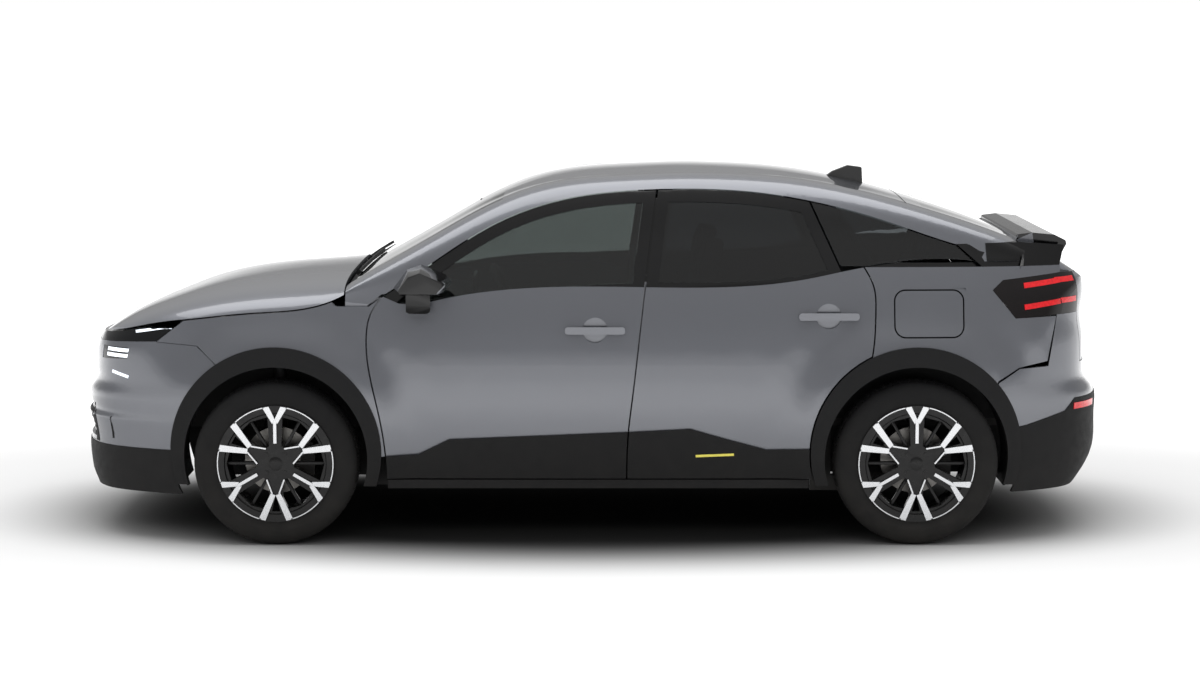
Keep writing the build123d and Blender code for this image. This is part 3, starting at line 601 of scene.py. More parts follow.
class Workshop:
    """Keeps the frame, the finishes and the surfaces, and hangs finished pieces on their bodies."""

    flat_angle = math.radians(4)
    edge_angle = math.radians(25)

    def __init__(self, frame: dict) -> None:
        """Takes the loaded frame.
        """
        self.nodes: dict[str, bpy.types.Object] = frame["nodes"]
        self.slots = {row["node"]: row["material_slot"] for row in frame["record"]["subparts"]}
        self.shelf = EffectShelf()
        self.made: dict[Finish, bpy.types.Material] = {}
        self.trees: dict[tuple[str, ...], BVHTree] = {}

    def material(self, finish: Finish) -> bpy.types.Material:
        """Gives a finish's material, made on first use."""
        if finish not in self.made:
            self.made[finish] = finish.build(self.shelf)
        return self.made[finish]

    def surface(self, *names: str) -> BVHTree:
        """Gives a tree of nodes' faces for laying patches on.

        Args:
            names: The nodes.

        Returns:
            The tree.
        """
        if names not in self.trees:
            bm = bmesh.new()
            for name in names:
                bm.from_mesh(self.nodes[name].data)
            self.trees[names] = BVHTree.FromBMesh(bm)
            bm.free()
        return self.trees[names]

    def dress(self, node: str, finish: Finish, zones: Sequence[tuple[Finish, FaceTest]] = ()) -> None:
        """Gives a node its finish; zones of other finishes go on a copy that stands for it.

        Args:
            node: The node.
            finish: Its main finish.
            zones: Other finishes, each with a test on face centres.
        """
        original = self.nodes[node]
        if not zones:
            original.data.materials.clear()
            original.data.materials.append(self.material(finish))
            LOG.info("%s dressed in %s", node, finish.name)
            return
        mesh = original.data.copy()
        mesh.materials.clear()
        for each in (finish, *(zone[0] for zone in zones)):
            mesh.materials.append(self.material(each))
        count = len(mesh.polygons)
        centres = np.zeros(count * 3)
        mesh.polygons.foreach_get("center", centres)
        index = np.zeros(count, np.int32)
        for order, (_, test) in enumerate(zones, 1):
            index[test(centres.reshape(-1, 3))] = order
        mesh.polygons.foreach_set("material_index", index)
        copy = bpy.data.objects.new(node + "_dressed", mesh)
        self.hang(copy, original["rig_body"], (node,))

    def round_off(self, node: str, finish: Finish, radius: float) -> None:
        """Stands a copy of a node with rounded edges in its place.

        Args:
            node: The node.
            finish: Its finish.
            radius: Rounding of its edges.
        """
        bm = bmesh.new()
        bm.from_mesh(self.nodes[node].data)
        bmesh.ops.remove_doubles(bm, verts=bm.verts, dist=WELD)
        bmesh.ops.dissolve_limit(bm, angle_limit=self.flat_angle, verts=bm.verts, edges=bm.edges)
        sharp = [e for e in bm.edges if len(e.link_faces) == 2 and e.calc_face_angle() > self.edge_angle]
        bmesh.ops.bevel(bm, geom=sharp, offset=radius, offset_type="OFFSET", affect="EDGES", segments=4,
                        profile=0.5, material=-1, clamp_overlap=True)
        bmesh.ops.triangulate(bm, faces=bm.faces)
        body = self.nodes[node]["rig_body"]
        self.add(node + "_rounded", bm, finish, body, self.slots[node], (node,), smooth=60)

    def hang(self, piece: bpy.types.Object, body: str, stands_for: Sequence[str] = ()) -> None:
        """Puts a finished object on its body.

        Args:
            piece: The object.
            body: The body that it rides on.
            stands_for: Nodes that it replaces.
        """
        bpy.context.scene.collection.objects.link(piece)
        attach(piece, body)
        if stands_for:
            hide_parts(*stands_for)
        LOG.info("%s rides on %s", piece.name, body)

    def add(
        self,
        name: str,
        bm: Mesh,
        finish: Finish,
        body: str,
        slot: str,
        stands_for: Sequence[str] = (),
        smooth: float = 35.0,
    ) -> bpy.types.Object:
        """Makes a piece of a finished mesh.

        Args:
            name: The piece's name.
            bm: Its mesh, which is freed.
            finish: Its finish.
            body: The body that it rides on.
            slot: The record's material slot; not used.
            stands_for: Nodes that it replaces.
            smooth: Largest angle that is shaded smooth, in degrees.

        Returns:
            The piece.
        """
        mesh = bpy.data.meshes.new(name)
        bm.to_mesh(mesh)
        bm.free()
        mesh.shade_smooth()
        mesh.set_sharp_from_angle(angle=math.radians(smooth))
        mesh.materials.append(self.material(finish))
        piece = bpy.data.objects.new(name, mesh)
        self.hang(piece, body, stands_for)
        return piece

    def patches(self, patches: Sequence[Patch], nodes: Sequence[str], mirrored: bool) -> Mesh:
        """Lays patches on nodes as one mesh.

        Args:
            patches: The patches.
            nodes: What they lie on.
            mirrored: Whether the car's right side has them too.

        Returns:
            The mesh.
        """
        bm = join(bmesh.new(), *(patch.build(self.surface(*nodes)) for patch in patches))
        if mirrored:
            add_mirror(bm)
        return bm


@dataclass
class BodyShell:
    """Painted shell, black lower parts, glass, cowl and wipers."""

    sill_top: float = 0.402
    fin_line: Triple = (1.0, 1.507, 0.219)
    fin_span: Point = (1.01, 1.2)
    fin_half: float = 0.0225
    spoiler_start: Point = (1.79, 1.165)
    spoiler_line: Triple = (1.80, 1.268, 0.55)
    pillar_span: Point = (0.16, 0.35)
    pillar_height: Point = (1.08, 1.46)
    quarter_span: Point = (1.03, 1.63)
    quarter_foot: float = 1.163
    quarter_line: Triple = (1.11, 1.38, 0.31)
    corner: Rows = (((1.523, -0.738, 1.252), (1.633, -0.765, 1.156)),
                    ((1.798, -0.686, 1.256), (1.800, -0.724, 1.146)),
                    ((1.985, -0.645, 1.240), (1.962, -0.672, 1.146)))
    corner_depth: float = 0.026
    corner_foot: tuple[Point, ...] = ((1.645, 1.254), (1.826, 1.256), (1.800, 1.163), (1.650, 1.168))
    pillar_back: Rows = (((0.83, -0.608, 1.455), (1.00, -0.608, 1.455)),
                         ((0.88, -0.630, 1.400), (1.02, -0.630, 1.400)),
                         ((1.02, -0.742, 1.112), (1.24, -0.742, 1.112)))
    sheet: float = 0.004
    pocket_depths: Point = (-0.808, -0.758)
    pocket_sides: tuple[Point, Point] = ((1.250, 1.554), (0.866, 1.074))
    pocket_wall: float = 0.004
    cap_radii: Point = (0.045, 0.041)
    cap_height: float = 0.026
    cap_stand: float = 0.012
    well_radius: float = 0.391
    well_place: Triple = (REAR_AXLE, -0.618, 0.368)
    well_foot: float = 0.27
    shield: Rows = (((-1.76, -0.424, 0.442), (-0.945, -0.424, 0.442)),
                    ((-1.70, -0.424, 0.225), (-0.945, -0.424, 0.225)))
    shield_depth: float = 0.005
    grille_half: float = 0.50
    grille_heights: tuple[float, ...] = (0.436, 0.460, 0.484, 0.508, 0.532)
    grille_bar: float = 0.009
    slot: tuple[Point, ...] = ((-2.135, 0.400), (-2.095, 0.400), (-2.115, 0.545), (-2.130, 0.545))
    wiper_arms: tuple[tuple[Point, Point], ...] = (((-0.985, -0.52), (-0.925, 0.06)),
                                                   ((-0.985, 0.10), (-0.925, 0.60)))
    wiper_width: float = 0.016

    def build(self, shop: Workshop) -> None:
        """Dresses the shell and adds its trim.

        Args:
            shop: The workshop.
        """
        plain = {
            PAINT: ("front_fenders", "front_bumper", "rear_bumper", "bonnet", "fuel_flap"),
            BLACK_PLASTIC: ("arch_trims", "cowl", "bumper_trim"),
            CLEAR_GLASS: ("windscreen",),
            DARK_GLASS: ("quarter_windows", "rear_window"),
        }
        for finish, nodes in plain.items():
            for node in nodes:
                shop.dress(node, finish)
        shop.dress("roof_panel", PAINT, [(GLOSS_BLACK, self.on_fin)])
        shop.dress("tailgate", PAINT, [(GLOSS_BLACK, self.on_spoiler)])
        shop.dress("side_frames", PAINT, [(GLOSS_BLACK, self.on_pillar), (BLACK_PLASTIC, self.on_sill)])
        self.quarter_trim(shop)
        self.filler_pocket(shop)
        self.wells(shop)
        self.grille(shop)
        self.wipers(shop)

    def on_fin(self, centre: np.ndarray) -> np.ndarray:
        """Tells which roof faces belong to the fin aerial."""
        x, y, z = centre.T
        return (z > falling(x, self.fin_line)) & (np.abs(y) < self.fin_half) & between(x, *self.fin_span)

    def on_spoiler(self, centre: np.ndarray) -> np.ndarray:
        """Tells which tailgate faces belong to the spoiler."""
        x, _, z = centre.T
        behind, above = self.spoiler_start
        return (x > behind) & (z > above) & (z > falling(x, self.spoiler_line))

    def on_pillar(self, centre: np.ndarray) -> np.ndarray:
        """Tells which body side faces are pillars beside the windows."""
        x, _, z = centre.T
        middle = between(x, *self.pillar_span) & between(z, *self.pillar_height)
        return middle | between(x, *self.quarter_span) & between(
            z, self.quarter_foot, falling(x, self.quarter_line))

    def on_sill(self, centre: np.ndarray) -> np.ndarray:
        """Tells which body side faces belong to the black sill."""
        return centre[:, 2] < self.sill_top

    @staticmethod
    def panel(rows: Rows, depth: float, mirrored: bool = True) -> Mesh:
        """A bent plate on the car's left, or on both of its sides.

        Args:
            rows: Corners of its left outer face, row by row.
            depth: How far it reaches inboard.
            mirrored: Whether the right side has one as well.

        Returns:
            The plate or plates.
        """
        bm = bmesh.new()
        verts = [[bm.verts.new(p) for p in row] for row in rows]
        for row, after in zip(verts, verts[1:]):
            for k in range(len(row) - 1):
                bm.faces.new((row[k], row[k + 1], after[k + 1], after[k]))
        thicken(bm, (0, depth, 0))
        if mirrored:
            add_mirror(bm)
        return bm

    def quarter_trim(self, shop: Workshop) -> None:
        """Adds the black corners between quarter windows and spoiler, and backs the rear door gaps.

        Args:
            shop: The workshop.
        """
        foot = Patch(self.corner_foot, Facing.LEFT, cells=(40, 20))
        bm = join(self.panel(self.corner, self.corner_depth), shop.patches([foot], ["side_frames"], True))
        shop.add("quarter_trims", bm, GLOSS_BLACK, "body", "gloss_trim")
        back = self.panel(self.pillar_back, self.sheet)
        shop.add("pillar_backs", back, BLACK_PLASTIC, "body", "black_trim")

    def filler_pocket(self, shop: Workshop) -> None:
        """Adds the pocket behind the fuel flap with its round filler cap.

        Args:
            shop: The workshop.
        """
        rim, deep = self.pocket_depths
        (left, right), (low, high) = self.pocket_sides
        wall = self.pocket_wall
        heights = ((high, rim), (high - wall, deep), (low + wall, deep), (low, rim))
        rows = tuple(((left, rim, z), (left + wall, y, z), (right - wall, y, z), (right, rim, z))
                     for z, y in heights)
        cap = bmesh.new()
        bmesh.ops.create_cone(cap, cap_ends=True, segments=40, radius1=self.cap_radii[0],
                              radius2=self.cap_radii[1], depth=self.cap_height)
        bmesh.ops.rotate(cap, cent=ORIGIN, matrix=Matrix.Rotation(math.pi / 2, 3, "X"), verts=cap.verts)
        middle = ((left + right) / 2, deep - self.cap_stand, (low + high) / 2)
        bmesh.ops.translate(cap, vec=middle, verts=cap.verts)
        bm = join(self.panel(rows, self.sheet, mirrored=False), cap)
        shop.add("filler_pocket", bm, BLACK_PLASTIC, "body", "black_trim")

    def wells(self, shop: Workshop) -> None:
        """Closes the rear wheel wells and shields the engine bay's sides.

        Args:
            shop: The workshop.
        """
        bm = bmesh.new()
        bmesh.ops.create_circle(bm, cap_ends=True, segments=48, radius=self.well_radius)
        bmesh.ops.rotate(bm, cent=ORIGIN, matrix=Matrix.Rotation(math.pi / 2, 3, "X"), verts=bm.verts)
        bmesh.ops.translate(bm, vec=self.well_place, verts=bm.verts)
        bmesh.ops.bisect_plane(bm, geom=everything(bm), plane_co=(0, 0, self.well_foot),
                               plane_no=(0, 0, -1), clear_outer=True)
        thicken(bm, (0, self.sheet, 0))
        add_mirror(bm)
        shop.add("rear_well_walls", bm, BLACK_PLASTIC, "body", "black_trim")
        bm = self.panel(self.shield, self.shield_depth)
        shop.add("engine_bay_shields", bm, BLACK_PLASTIC, "body", "black_trim")

    def grille(self, shop: Workshop) -> None:
        """Adds the bars of the lower grille, and flat black patches at the bumper's corners that stand for
        slots: black plastic with the painted shade of their openings.

        Args:
            shop: The workshop.
        """
        half = self.grille_half
        bars = [Patch(strip((-half, z), (half, z), self.grille_bar), Facing.FRONT, thick=0.003, cells=(60, 2))
                for z in self.grille_heights]
        bm = shop.patches(bars, ["bumper_trim"], False)
        shop.add("grille_bars", bm, GLOSS_BLACK, "body", "gloss_trim")
        # The slots are flat black patches: painted shade stands in for the depth of their openings.
        bm = shop.patches([Patch(self.slot, Facing.LEFT, thick=0.0008)], ["front_bumper"], True)
        shop.add("bumper_slots", bm, BLACK_PLASTIC, "body", "black_trim")

    def wipers(self, shop: Workshop) -> None:
        """Adds two wiper arms with their blades at the foot of the windscreen.

        Args:
            shop: The workshop.
        """
        arms = [Patch(strip(a, b, self.wiper_width), Facing.TOP, lift=0.004, thick=0.012, cells=(4, 40))
                for a, b in self.wiper_arms]
        bm = shop.patches(arms, ["windscreen", "cowl"], False)
        shop.add("wipers", bm, BLACK_PLASTIC, "body", "black_trim")


@dataclass
class Doors:
    """Four doors with black window frames, inner cards, cladding, stripe and mirrors."""

    belt_start: Point = (-0.715, 1.008)
    belt_slope: float = 0.0773
    belt_run: float = 0.932
    belt_rises: tuple[Triple, ...] = ((0.217, 0.68, 0.045), (0.9, 0.24, 0.047))
    card_y: float = 0.776
    half: float = 0.884
    tumble: Triple = (0.070, 0.64, 0.5)
    barrel: Triple = (0.024, 0.1, 1.5)
    frame_drop: float = 0.045
    skin_depth: float = 0.006
    mirror_round: float = 0.016
    stripe: tuple[Point, Point, float] = ((0.433, 0.379), (0.592, 0.385), 0.010)
    pane: tuple[Point, ...] = ((-1.035, 1.075), (-0.925, 1.068), (-0.925, 1.128), (-1.035, 1.125))

    def build(self, shop: Workshop) -> None:
        """Dresses the doors of both sides.

        Args:
            shop: The workshop.
        """
        stripe = Patch(strip(*self.stripe), Facing.LEFT, thick=0.0008)
        pane = Patch(self.pane, Facing.REAR)
        for hand in ("left", "right"):
            for row in ("front", "rear"):
                door = f"{hand}_{row}_door"
                shop.dress(door, PAINT, [(SOFT_PLASTIC, self.on_card), (GLOSS_BLACK, self.on_frame)])
                shop.dress(door + "_glass", CLEAR_GLASS if row == "front" else DARK_GLASS)
                shop.dress(door + "_cladding", BLACK_PLASTIC)
            shop.round_off(hand + "_mirror", GLOSS_BLACK, self.mirror_round)
            bm = self.on_side(stripe.build(shop.surface("left_rear_door_cladding")), hand)
            # The stripe's slight glow is painted light.
            shop.add(hand + "_accent_stripe", bm, YELLOW, hand + "_rear_door", "black_trim")
            bm = self.on_side(pane.build(shop.surface("left_mirror")), hand)
            shop.add(hand + "_mirror_glass", bm, LAMP_CHROME, hand + "_front_door", "gloss_trim")

    @staticmethod
    def on_side(bm: Mesh, hand: str) -> Mesh:
        """Moves a left-hand mesh to the side where it belongs.

        Args:
            bm: The mesh.
            hand: The side of the car.

        Returns:
            The same mesh.
        """
        if hand == "right":
            flip(bm, everything(bm))
        return bm

    def belt(self, x: np.ndarray) -> np.ndarray:
        """Height of the window line over the car's length."""
        start, height = self.belt_start
        line = height + self.belt_slope * np.minimum(x - start, self.belt_run)
        for foot, run, rise in self.belt_rises:
            line = line + rise * np.clip((x - foot) / run, 0, 1)
        return line

    def on_frame(self, centre: np.ndarray) -> np.ndarray:
        """Tells which door faces belong to the window frame, inside the painted skin."""
        x, y, z = centre.T
        skin = self.half - bulge(z, self.tumble) - bulge(x, self.barrel)
        return (z > self.belt(x) - self.frame_drop) & (np.abs(y) < skin - self.skin_depth)

    def on_card(self, centre: np.ndarray) -> np.ndarray:
        """Tells which door faces are on the cabin side."""
        return np.abs(centre[:, 1]) < self.card_y


@dataclass(frozen=True)
class Light:
    """Lit bars on a node; each bar has its side, its two ends and its cells."""

    name: str
    node: str
    finish: Finish
    slot: str
    width: float
    bars: tuple[tuple[Facing, Point, Point, tuple[int, int]], ...]
    body: str = "body"
    mirrored: bool = True

    def build(self, shop: Workshop) -> None:
        """Lays the bars on their node.

        Args:
            shop: The workshop.
        """
        patches = [Patch(strip(a, b, self.width), facing, cells=cells) for facing, a, b, cells in self.bars]
        bm = shop.patches(patches, [self.node], self.mirrored)
        shop.add(self.name, bm, self.finish, self.body, self.slot)


LIGHTS = (
    Light("day_bars", "headlamps", LED_WHITE, "lamp", 0.011,
          ((Facing.LEFT, (-1.908, 0.885), (-1.752, 0.912), (40, 3)),)),
    Light("beam_lenses", "headlamps", LED_WHITE, "lamp", 0.015,
          ((Facing.LEFT, (-2.010, 0.803), (-1.957, 0.803), (16, 4)),
           (Facing.LEFT, (-2.010, 0.780), (-1.957, 0.780), (16, 4)),
           (Facing.FRONT, (-0.735, 0.803), (-0.640, 0.803), (16, 4)),
           (Facing.FRONT, (-0.735, 0.780), (-0.640, 0.780), (16, 4)))),
    Light("corner_slits", "front_bumper", LED_WHITE, "lamp", 0.012,
          ((Facing.LEFT, (-2.020, 0.711), (-1.944, 0.693), (30, 3)),)),
    Light("tail_bars", "tail_lamps", TAIL_RED, "tail_lamp", 0.022,
          ((Facing.LEFT, (1.803, 1.080), (1.962, 1.097), (40, 4)),
           (Facing.LEFT, (1.805, 0.991), (1.966, 1.010), (40, 4)),
           (Facing.REAR, (-0.700, 1.098), (-0.625, 1.100), (20, 4)),
           (Facing.REAR, (-0.700, 1.012), (-0.625, 1.014), (20, 4)))),
    Light("high_brake_lamp", "tailgate", TAIL_RED, "tail_lamp", 0.008,
          ((Facing.REAR, (-0.16, 1.246), (0.16, 1.246), (20, 2)),), body="tailgate", mirrored=False),
    # The reflectors take the tail lamps' glowing red, so they glow as painted light though they are no lamps.
    Light("rear_reflectors", "bumper_trim", TAIL_RED, "tail_lamp", 0.026,
          ((Facing.REAR, (-0.70, 0.565), (-0.55, 0.565), (16, 4)),)),
)


@dataclass
class Lamps:
    """Headlamps and tail lamps with their lit bars."""

    lights: tuple[Light, ...] = LIGHTS

    def build(self, shop: Workshop) -> None:
        """Dresses the lamps and adds what shows in them.

        Args:
            shop: The workshop.
        """
        shop.dress("headlamps", LAMP_LENS)
        shop.dress("tail_lamps", TAIL_HOUSING)
        for light in self.lights:
            light.build(shop)


@dataclass
class Wheels:
    """Four wheels: treaded tyres, alloy faces over black pockets, caps and pocket ribs."""

    radius: float = 0.345
    half_width: float = 0.0975
    bead: float = 0.2298
    groove: float = 0.007
    groove_width: float = 0.009
    groove_places: Point = (0.046, 0.0155)
    tread_crown: float = 0.5
    tread_depth: float = 0.0036
    inner_blocks: float = 0.03
    cut_every: int = 3
    cut_inset: float = 0.0032
    cut_depth: float = 0.005
    steps: int = 180
    face: float = 0.090
    cap: float = 0.030
    cap_section: tuple[Point, ...] = ((0.0, 0.0045), (0.55, 0.0040), (0.85, 0.0024), (0.97, 0.0010),
                                      (1.0, -0.004))
    disc_span: Point = (-0.0425, -0.0195)
    disc_radius: float = 0.1405
    spokes: tuple[tuple[int, int], ...] = ((90, 30), (210, 150), (330, 270))
    leg_face: float = 0.0998
    leg_end: float = 0.2425
    leg_depth: float = 0.030
    bright_depth: float = 0.0015
    arc_start: float = 11
    arc_span: float = math.radians(34)
    arc_width: float = 0.004
    arc_depth: float = 0.002
    rib_size: Triple = (0.135, 0.024, 0.013)
    rib_place: Point = (0.139, 0.062)

    def build(self, shop: Workshop) -> None:
        """Dresses the wheels and adds tyres, caps and ribs.

        Args:
            shop: The workshop.
        """
        for hand, sign in (("left", -1), ("right", 1)):
            for row, x in (("front", FRONT_AXLE), ("rear", REAR_AXLE)):
                body, tyre = f"{hand}_{row}_wheel", f"{hand}_{row}_tyre"
                middle = Vector((x, sign * WHEEL_Y, AXLE_Z))
                shop.dress(body, WHEEL_BLACK, [(DISC_STEEL, self.on_disc(middle, sign))])
                self.legs(shop, body, middle, sign)
                bm = self.placed(self.tyre(), middle)
                shop.add(tyre + "_treaded", bm, RUBBER, body, "tyre", (tyre,), smooth=40)
                bm = self.placed(self.centre_cap(sign), middle)
                shop.add(body + "_cap", bm, WHEEL_BLACK, body, "alloy")
                bm = self.placed(self.ribs(sign), middle)
                shop.add(body + "_ribs", bm, WHEEL_BLACK, body, "alloy")

    @staticmethod
    def placed(bm: Mesh, middle: Vector) -> Mesh:
        """Moves a mesh that was made about the origin to its wheel.

        Args:
            bm: The mesh.
            middle: The wheel's centre.

        Returns:
            The same mesh.
        """
        bmesh.ops.translate(bm, vec=middle, verts=bm.verts)
        return bm

    def on_disc(self, middle: Vector, sign: int) -> FaceTest:
        """Makes the test for the brake disc of a wheel.

        Args:
            middle: The wheel's centre.
            sign: The side of the car.

        Returns:
            The test.
        """
        def test(centre: np.ndarray) -> np.ndarray:
            """Tells which wheel faces belong to the brake disc."""
            x, y, z = centre.T
            reach = np.hypot(x - middle.x, z - middle.z)
            return between((y - middle.y) * sign, *self.disc_span) & (reach < self.disc_radius)

        return test

    @staticmethod
    def polar(radius: float, degrees: float) -> Point:
        """Point at a radius and an angle from the rearward direction."""
        return radius * math.cos(math.radians(degrees)), radius * math.sin(math.radians(degrees))

    def outlines(self) -> list[tuple[Point, ...]]:
        """Bright areas of a wheel: three forked spokes and three pairs of legs.

        Returns:
            Their outlines, seen from the car's left.
        """
        stem = ((0.0872, -4.27), (0.1763, -2.11), (0.1893, 0), (0.1763, 2.11), (0.0872, 4.27))
        arm = ((self.leg_end, 12.2), (self.leg_end, 5.8), (0.1895, 0.15), (0.1687, 3.4))
        leg = ((self.leg_end, 17.2), (self.leg_end, 10.4), (0.131, 0.2), (0.1256, 9.4))
        link = ((0.1258, 6.5), (0.075, 29))
        link_width = 0.006
        found = []
        for fork, pair in self.spokes:
            found.append(tuple(self.polar(r, fork + turn) for r, turn in stem))
            for side in (-1, 1):
                found.append(tuple(self.polar(r, fork + side * turn) for r, turn in arm))
                found.append(tuple(self.polar(r, pair + side * turn) for r, turn in leg))
                found.append(strip(*(self.polar(r, pair + side * turn) for r, turn in link), link_width))
        return found

    def legs(self, shop: Workshop, body: str, middle: Vector, sign: int) -> None:
        """Adds the bright legs with their dark flanks, and the thin bright arcs along the rim.

        Args:
            shop: The workshop.
            body: The wheel's body.
            middle: The wheel's centre.
            sign: The side of the car.
        """
        bright, dark = bmesh.new(), bmesh.new()
        layers = ((bright, self.bright_depth, self.leg_face),
                  (dark, self.leg_depth, self.leg_face - self.bright_depth))
        for outline in self.outlines():
            for bm, depth, front in layers:
                part = bmesh.new()
                part.faces.new([part.verts.new((x, sign * front, z)) for x, z in outline])
                thicken(part, (0, -sign * depth, 0))
                join(bm, part)
        for fork, side in ((fork, side) for fork, _ in self.spokes for side in (-1, 1)):
            arc = bmesh.new()
            start = [self.polar(r, fork + side * self.arc_start)
                     for r in (self.leg_end - self.arc_width, self.leg_end)]
            ends = [arc.verts.new((x, sign * self.leg_face, z)) for x, z in start]
            bmesh.ops.spin(arc, geom=[*ends, arc.edges.new(ends)], cent=ORIGIN, axis=(0, -1, 0), dvec=ORIGIN,
                           angle=side * self.arc_span, steps=14, use_merge=False, use_duplicate=False)
            thicken(arc, (0, -sign * self.arc_depth, 0))
            join(bright, arc)
        for name, bm, finish in (("_cut_faces", bright, MACHINED), ("_legs", dark, WHEEL_BLACK)):
            shop.add(body + name, self.placed(bm, middle), finish, body, "alloy")

    def profile(self) -> list[Point]:
        """Half section of a tyre as distance from its middle plane and radius.

        Returns:
            Points from the bead to the middle of the tread.
        """
        points = [(0.0888, self.bead), (0.0905, 0.238), (0.0916, 0.246), (0.0952, 0.258), (0.0958, 0.268),
                  (self.half_width, 0.274), (self.half_width, 0.286), (0.0962, 0.302), (0.0925, 0.318),
                  (0.0852, 0.3315), (0.0745, 0.3398)]
        for middle in self.groove_places:
            for shift, depth in ((0.5, 0), (0.34, 1), (-0.34, 1), (-0.5, 0)):
                y = middle + shift * self.groove_width
                points.append((y, self.radius - self.tread_crown * y * y - depth * self.groove))
        return points

    def tyre(self) -> Mesh:
        """Spins the section about the axle and sinks cross cuts into the tread.

        Returns:
            The tyre.
        """
        half = self.profile()
        bm = turned([(-y, r) for y, r in half] + half[::-1], self.steps, closed=True)
        bmesh.ops.recalc_face_normals(bm, faces=bm.faces)
        chosen = []
        for face in bm.faces:
            spot = face.calc_center_median()
            reach = math.hypot(spot.x, spot.z)
            turn = int((math.atan2(spot.z, spot.x) / math.tau + 0.5) * self.steps)
            shift = 0 if abs(spot.y) < self.inner_blocks else 1
            if reach > self.radius - self.tread_depth and (turn + shift) % self.cut_every == 0:
                chosen.append(face)
        bmesh.ops.inset_individual(bm, faces=chosen, thickness=self.cut_inset, depth=-self.cut_depth,
                                   use_even_offset=True)
        return bm

    def centre_cap(self, sign: int) -> Mesh:
        """Bare domed cap over the hub.

        Args:
            sign: The side of the car.

        Returns:
            The cap.
        """
        section = [(sign * (self.face + rise), share * self.cap) for share, rise in self.cap_section]
        bm = turned(section, 40, closed=False)
        bmesh.ops.holes_fill(bm, edges=[e for e in bm.edges if e.is_boundary], sides=0)
        bmesh.ops.recalc_face_normals(bm, faces=bm.faces)
        return bm

    def ribs(self, sign: int) -> Mesh:
        """Dark ribs in the middle of the six pockets.

        Args:
            sign: The side of the car.

        Returns:
            The ribs.
        """
        out, face = self.rib_place
        bm = bmesh.new()
        for turn in range(6):
            rib = rounded_block(self.rib_size, (out, sign * face, 0), 0.003, 2)
            spin = Matrix.Rotation(turn * math.pi / 3, 3, "Y")
            bmesh.ops.rotate(rib, cent=ORIGIN, matrix=spin, verts=rib.verts)
            join(bm, rib)
        return bm


@dataclass(frozen=True)
class Pads:
    """A row of crowned foam pads with raised sides and sewn channels."""

    name: str
    columns: tuple[Point, ...]
    length: float
    thickness: float
    place: Point
    lean: float
    bolster: float = 0.0
    channels: int = 0
    crown: float = 0.012
    fill: float = 0.8
    stands_for: tuple[str, ...] = ()
    cuts: int = 17
    roundness: float = 0.24
    draw: float = 0.03
    seam: float = 0.62
    seam_width: float = 0.05
    seam_depth: float = 0.010
    channel_depth: float = 0.007

    def pad(self, width: float) -> Mesh:
        """One pad, lying flat about the origin.

        Args:
            width: Its width.

        Returns:
            The pad.
        """
        bm = bmesh.new()
        bmesh.ops.create_cube(bm, size=2.0)
        bmesh.ops.subdivide_edges(bm, edges=bm.edges[:], cuts=self.cuts, use_grid_fill=True)
        for vert in bm.verts:
            u, v, w = vert.co
            ball = Vector((u * math.sqrt(1 - v * v / 2 - w * w / 2 + v * v * w * w / 3),
                           v * math.sqrt(1 - u * u / 2 - w * w / 2 + u * u * w * w / 3),
                           w * math.sqrt(1 - u * u / 2 - v * v / 2 + u * u * v * v / 3)))
            spot = vert.co.lerp(ball, self.roundness)
            spot.x *= (1 - self.draw * (1 - v * v)) * self.length / 2
            spot.y *= (1 - self.draw * (1 - u * u)) * width / 2
            spot.z *= self.thickness / 2
            if w > 0:
                spot.z += w * self.relief(u, v)
            vert.co = spot
        bmesh.ops.recalc_face_normals(bm, faces=bm.faces)
        return bm

    def relief(self, u: float, v: float) -> float:
        """Height of a pad's top over its plain form.

        Args:
            u: Place along its length, from -1 to 1.
            v: Place along its width, from -1 to 1.

        Returns:
            Crown and bolsters less seams and channels.
        """
        rise = self.crown * (1 - u * u) * (1 - v * v) + self.bolster * abs(v) ** 5 * (1 - 0.6 * u * u)
        off_seam = abs(abs(v) - self.seam)
        rise -= self.seam_depth * math.exp(-(off_seam / self.seam_width) ** 2) * (1 - u ** 8)
        if abs(v) < self.seam and self.channels:
            wave = math.cos(math.pi * (u + 1) / 2 * (self.channels + 1))
            rise -= self.channel_depth * (1 - abs(wave)) ** 3
        return rise

    def build(self, shop: Workshop) -> None:
        """Turns the pads up, sets them in place and joins them to one padded piece.

        Args:
            shop: The workshop.
        """
        turn = Matrix.Rotation(math.radians(self.lean), 3, "Y")
        bm = bmesh.new()
        for y, width in self.columns:
            pad = self.pad(width)
            bmesh.ops.rotate(pad, cent=ORIGIN, matrix=turn, verts=pad.verts)
            bmesh.ops.translate(pad, vec=(self.place[0], y, self.place[1]), verts=pad.verts)
            join(bm, pad)
        self.soften(shop.add(self.name, bm, CLOTH, "body", "cloth", self.stands_for, smooth=180), self.fill)

    @staticmethod
    def soften(piece: bpy.types.Object, fill: float) -> None:
        """Rounds a padded piece.

        Args:
            piece: The piece.
            fill: How tight the foam is; not used.
        """
        rounding = piece.modifiers.new("soft", "SUBSURF")
        rounding.levels = 1
        rounding.render_levels = 1


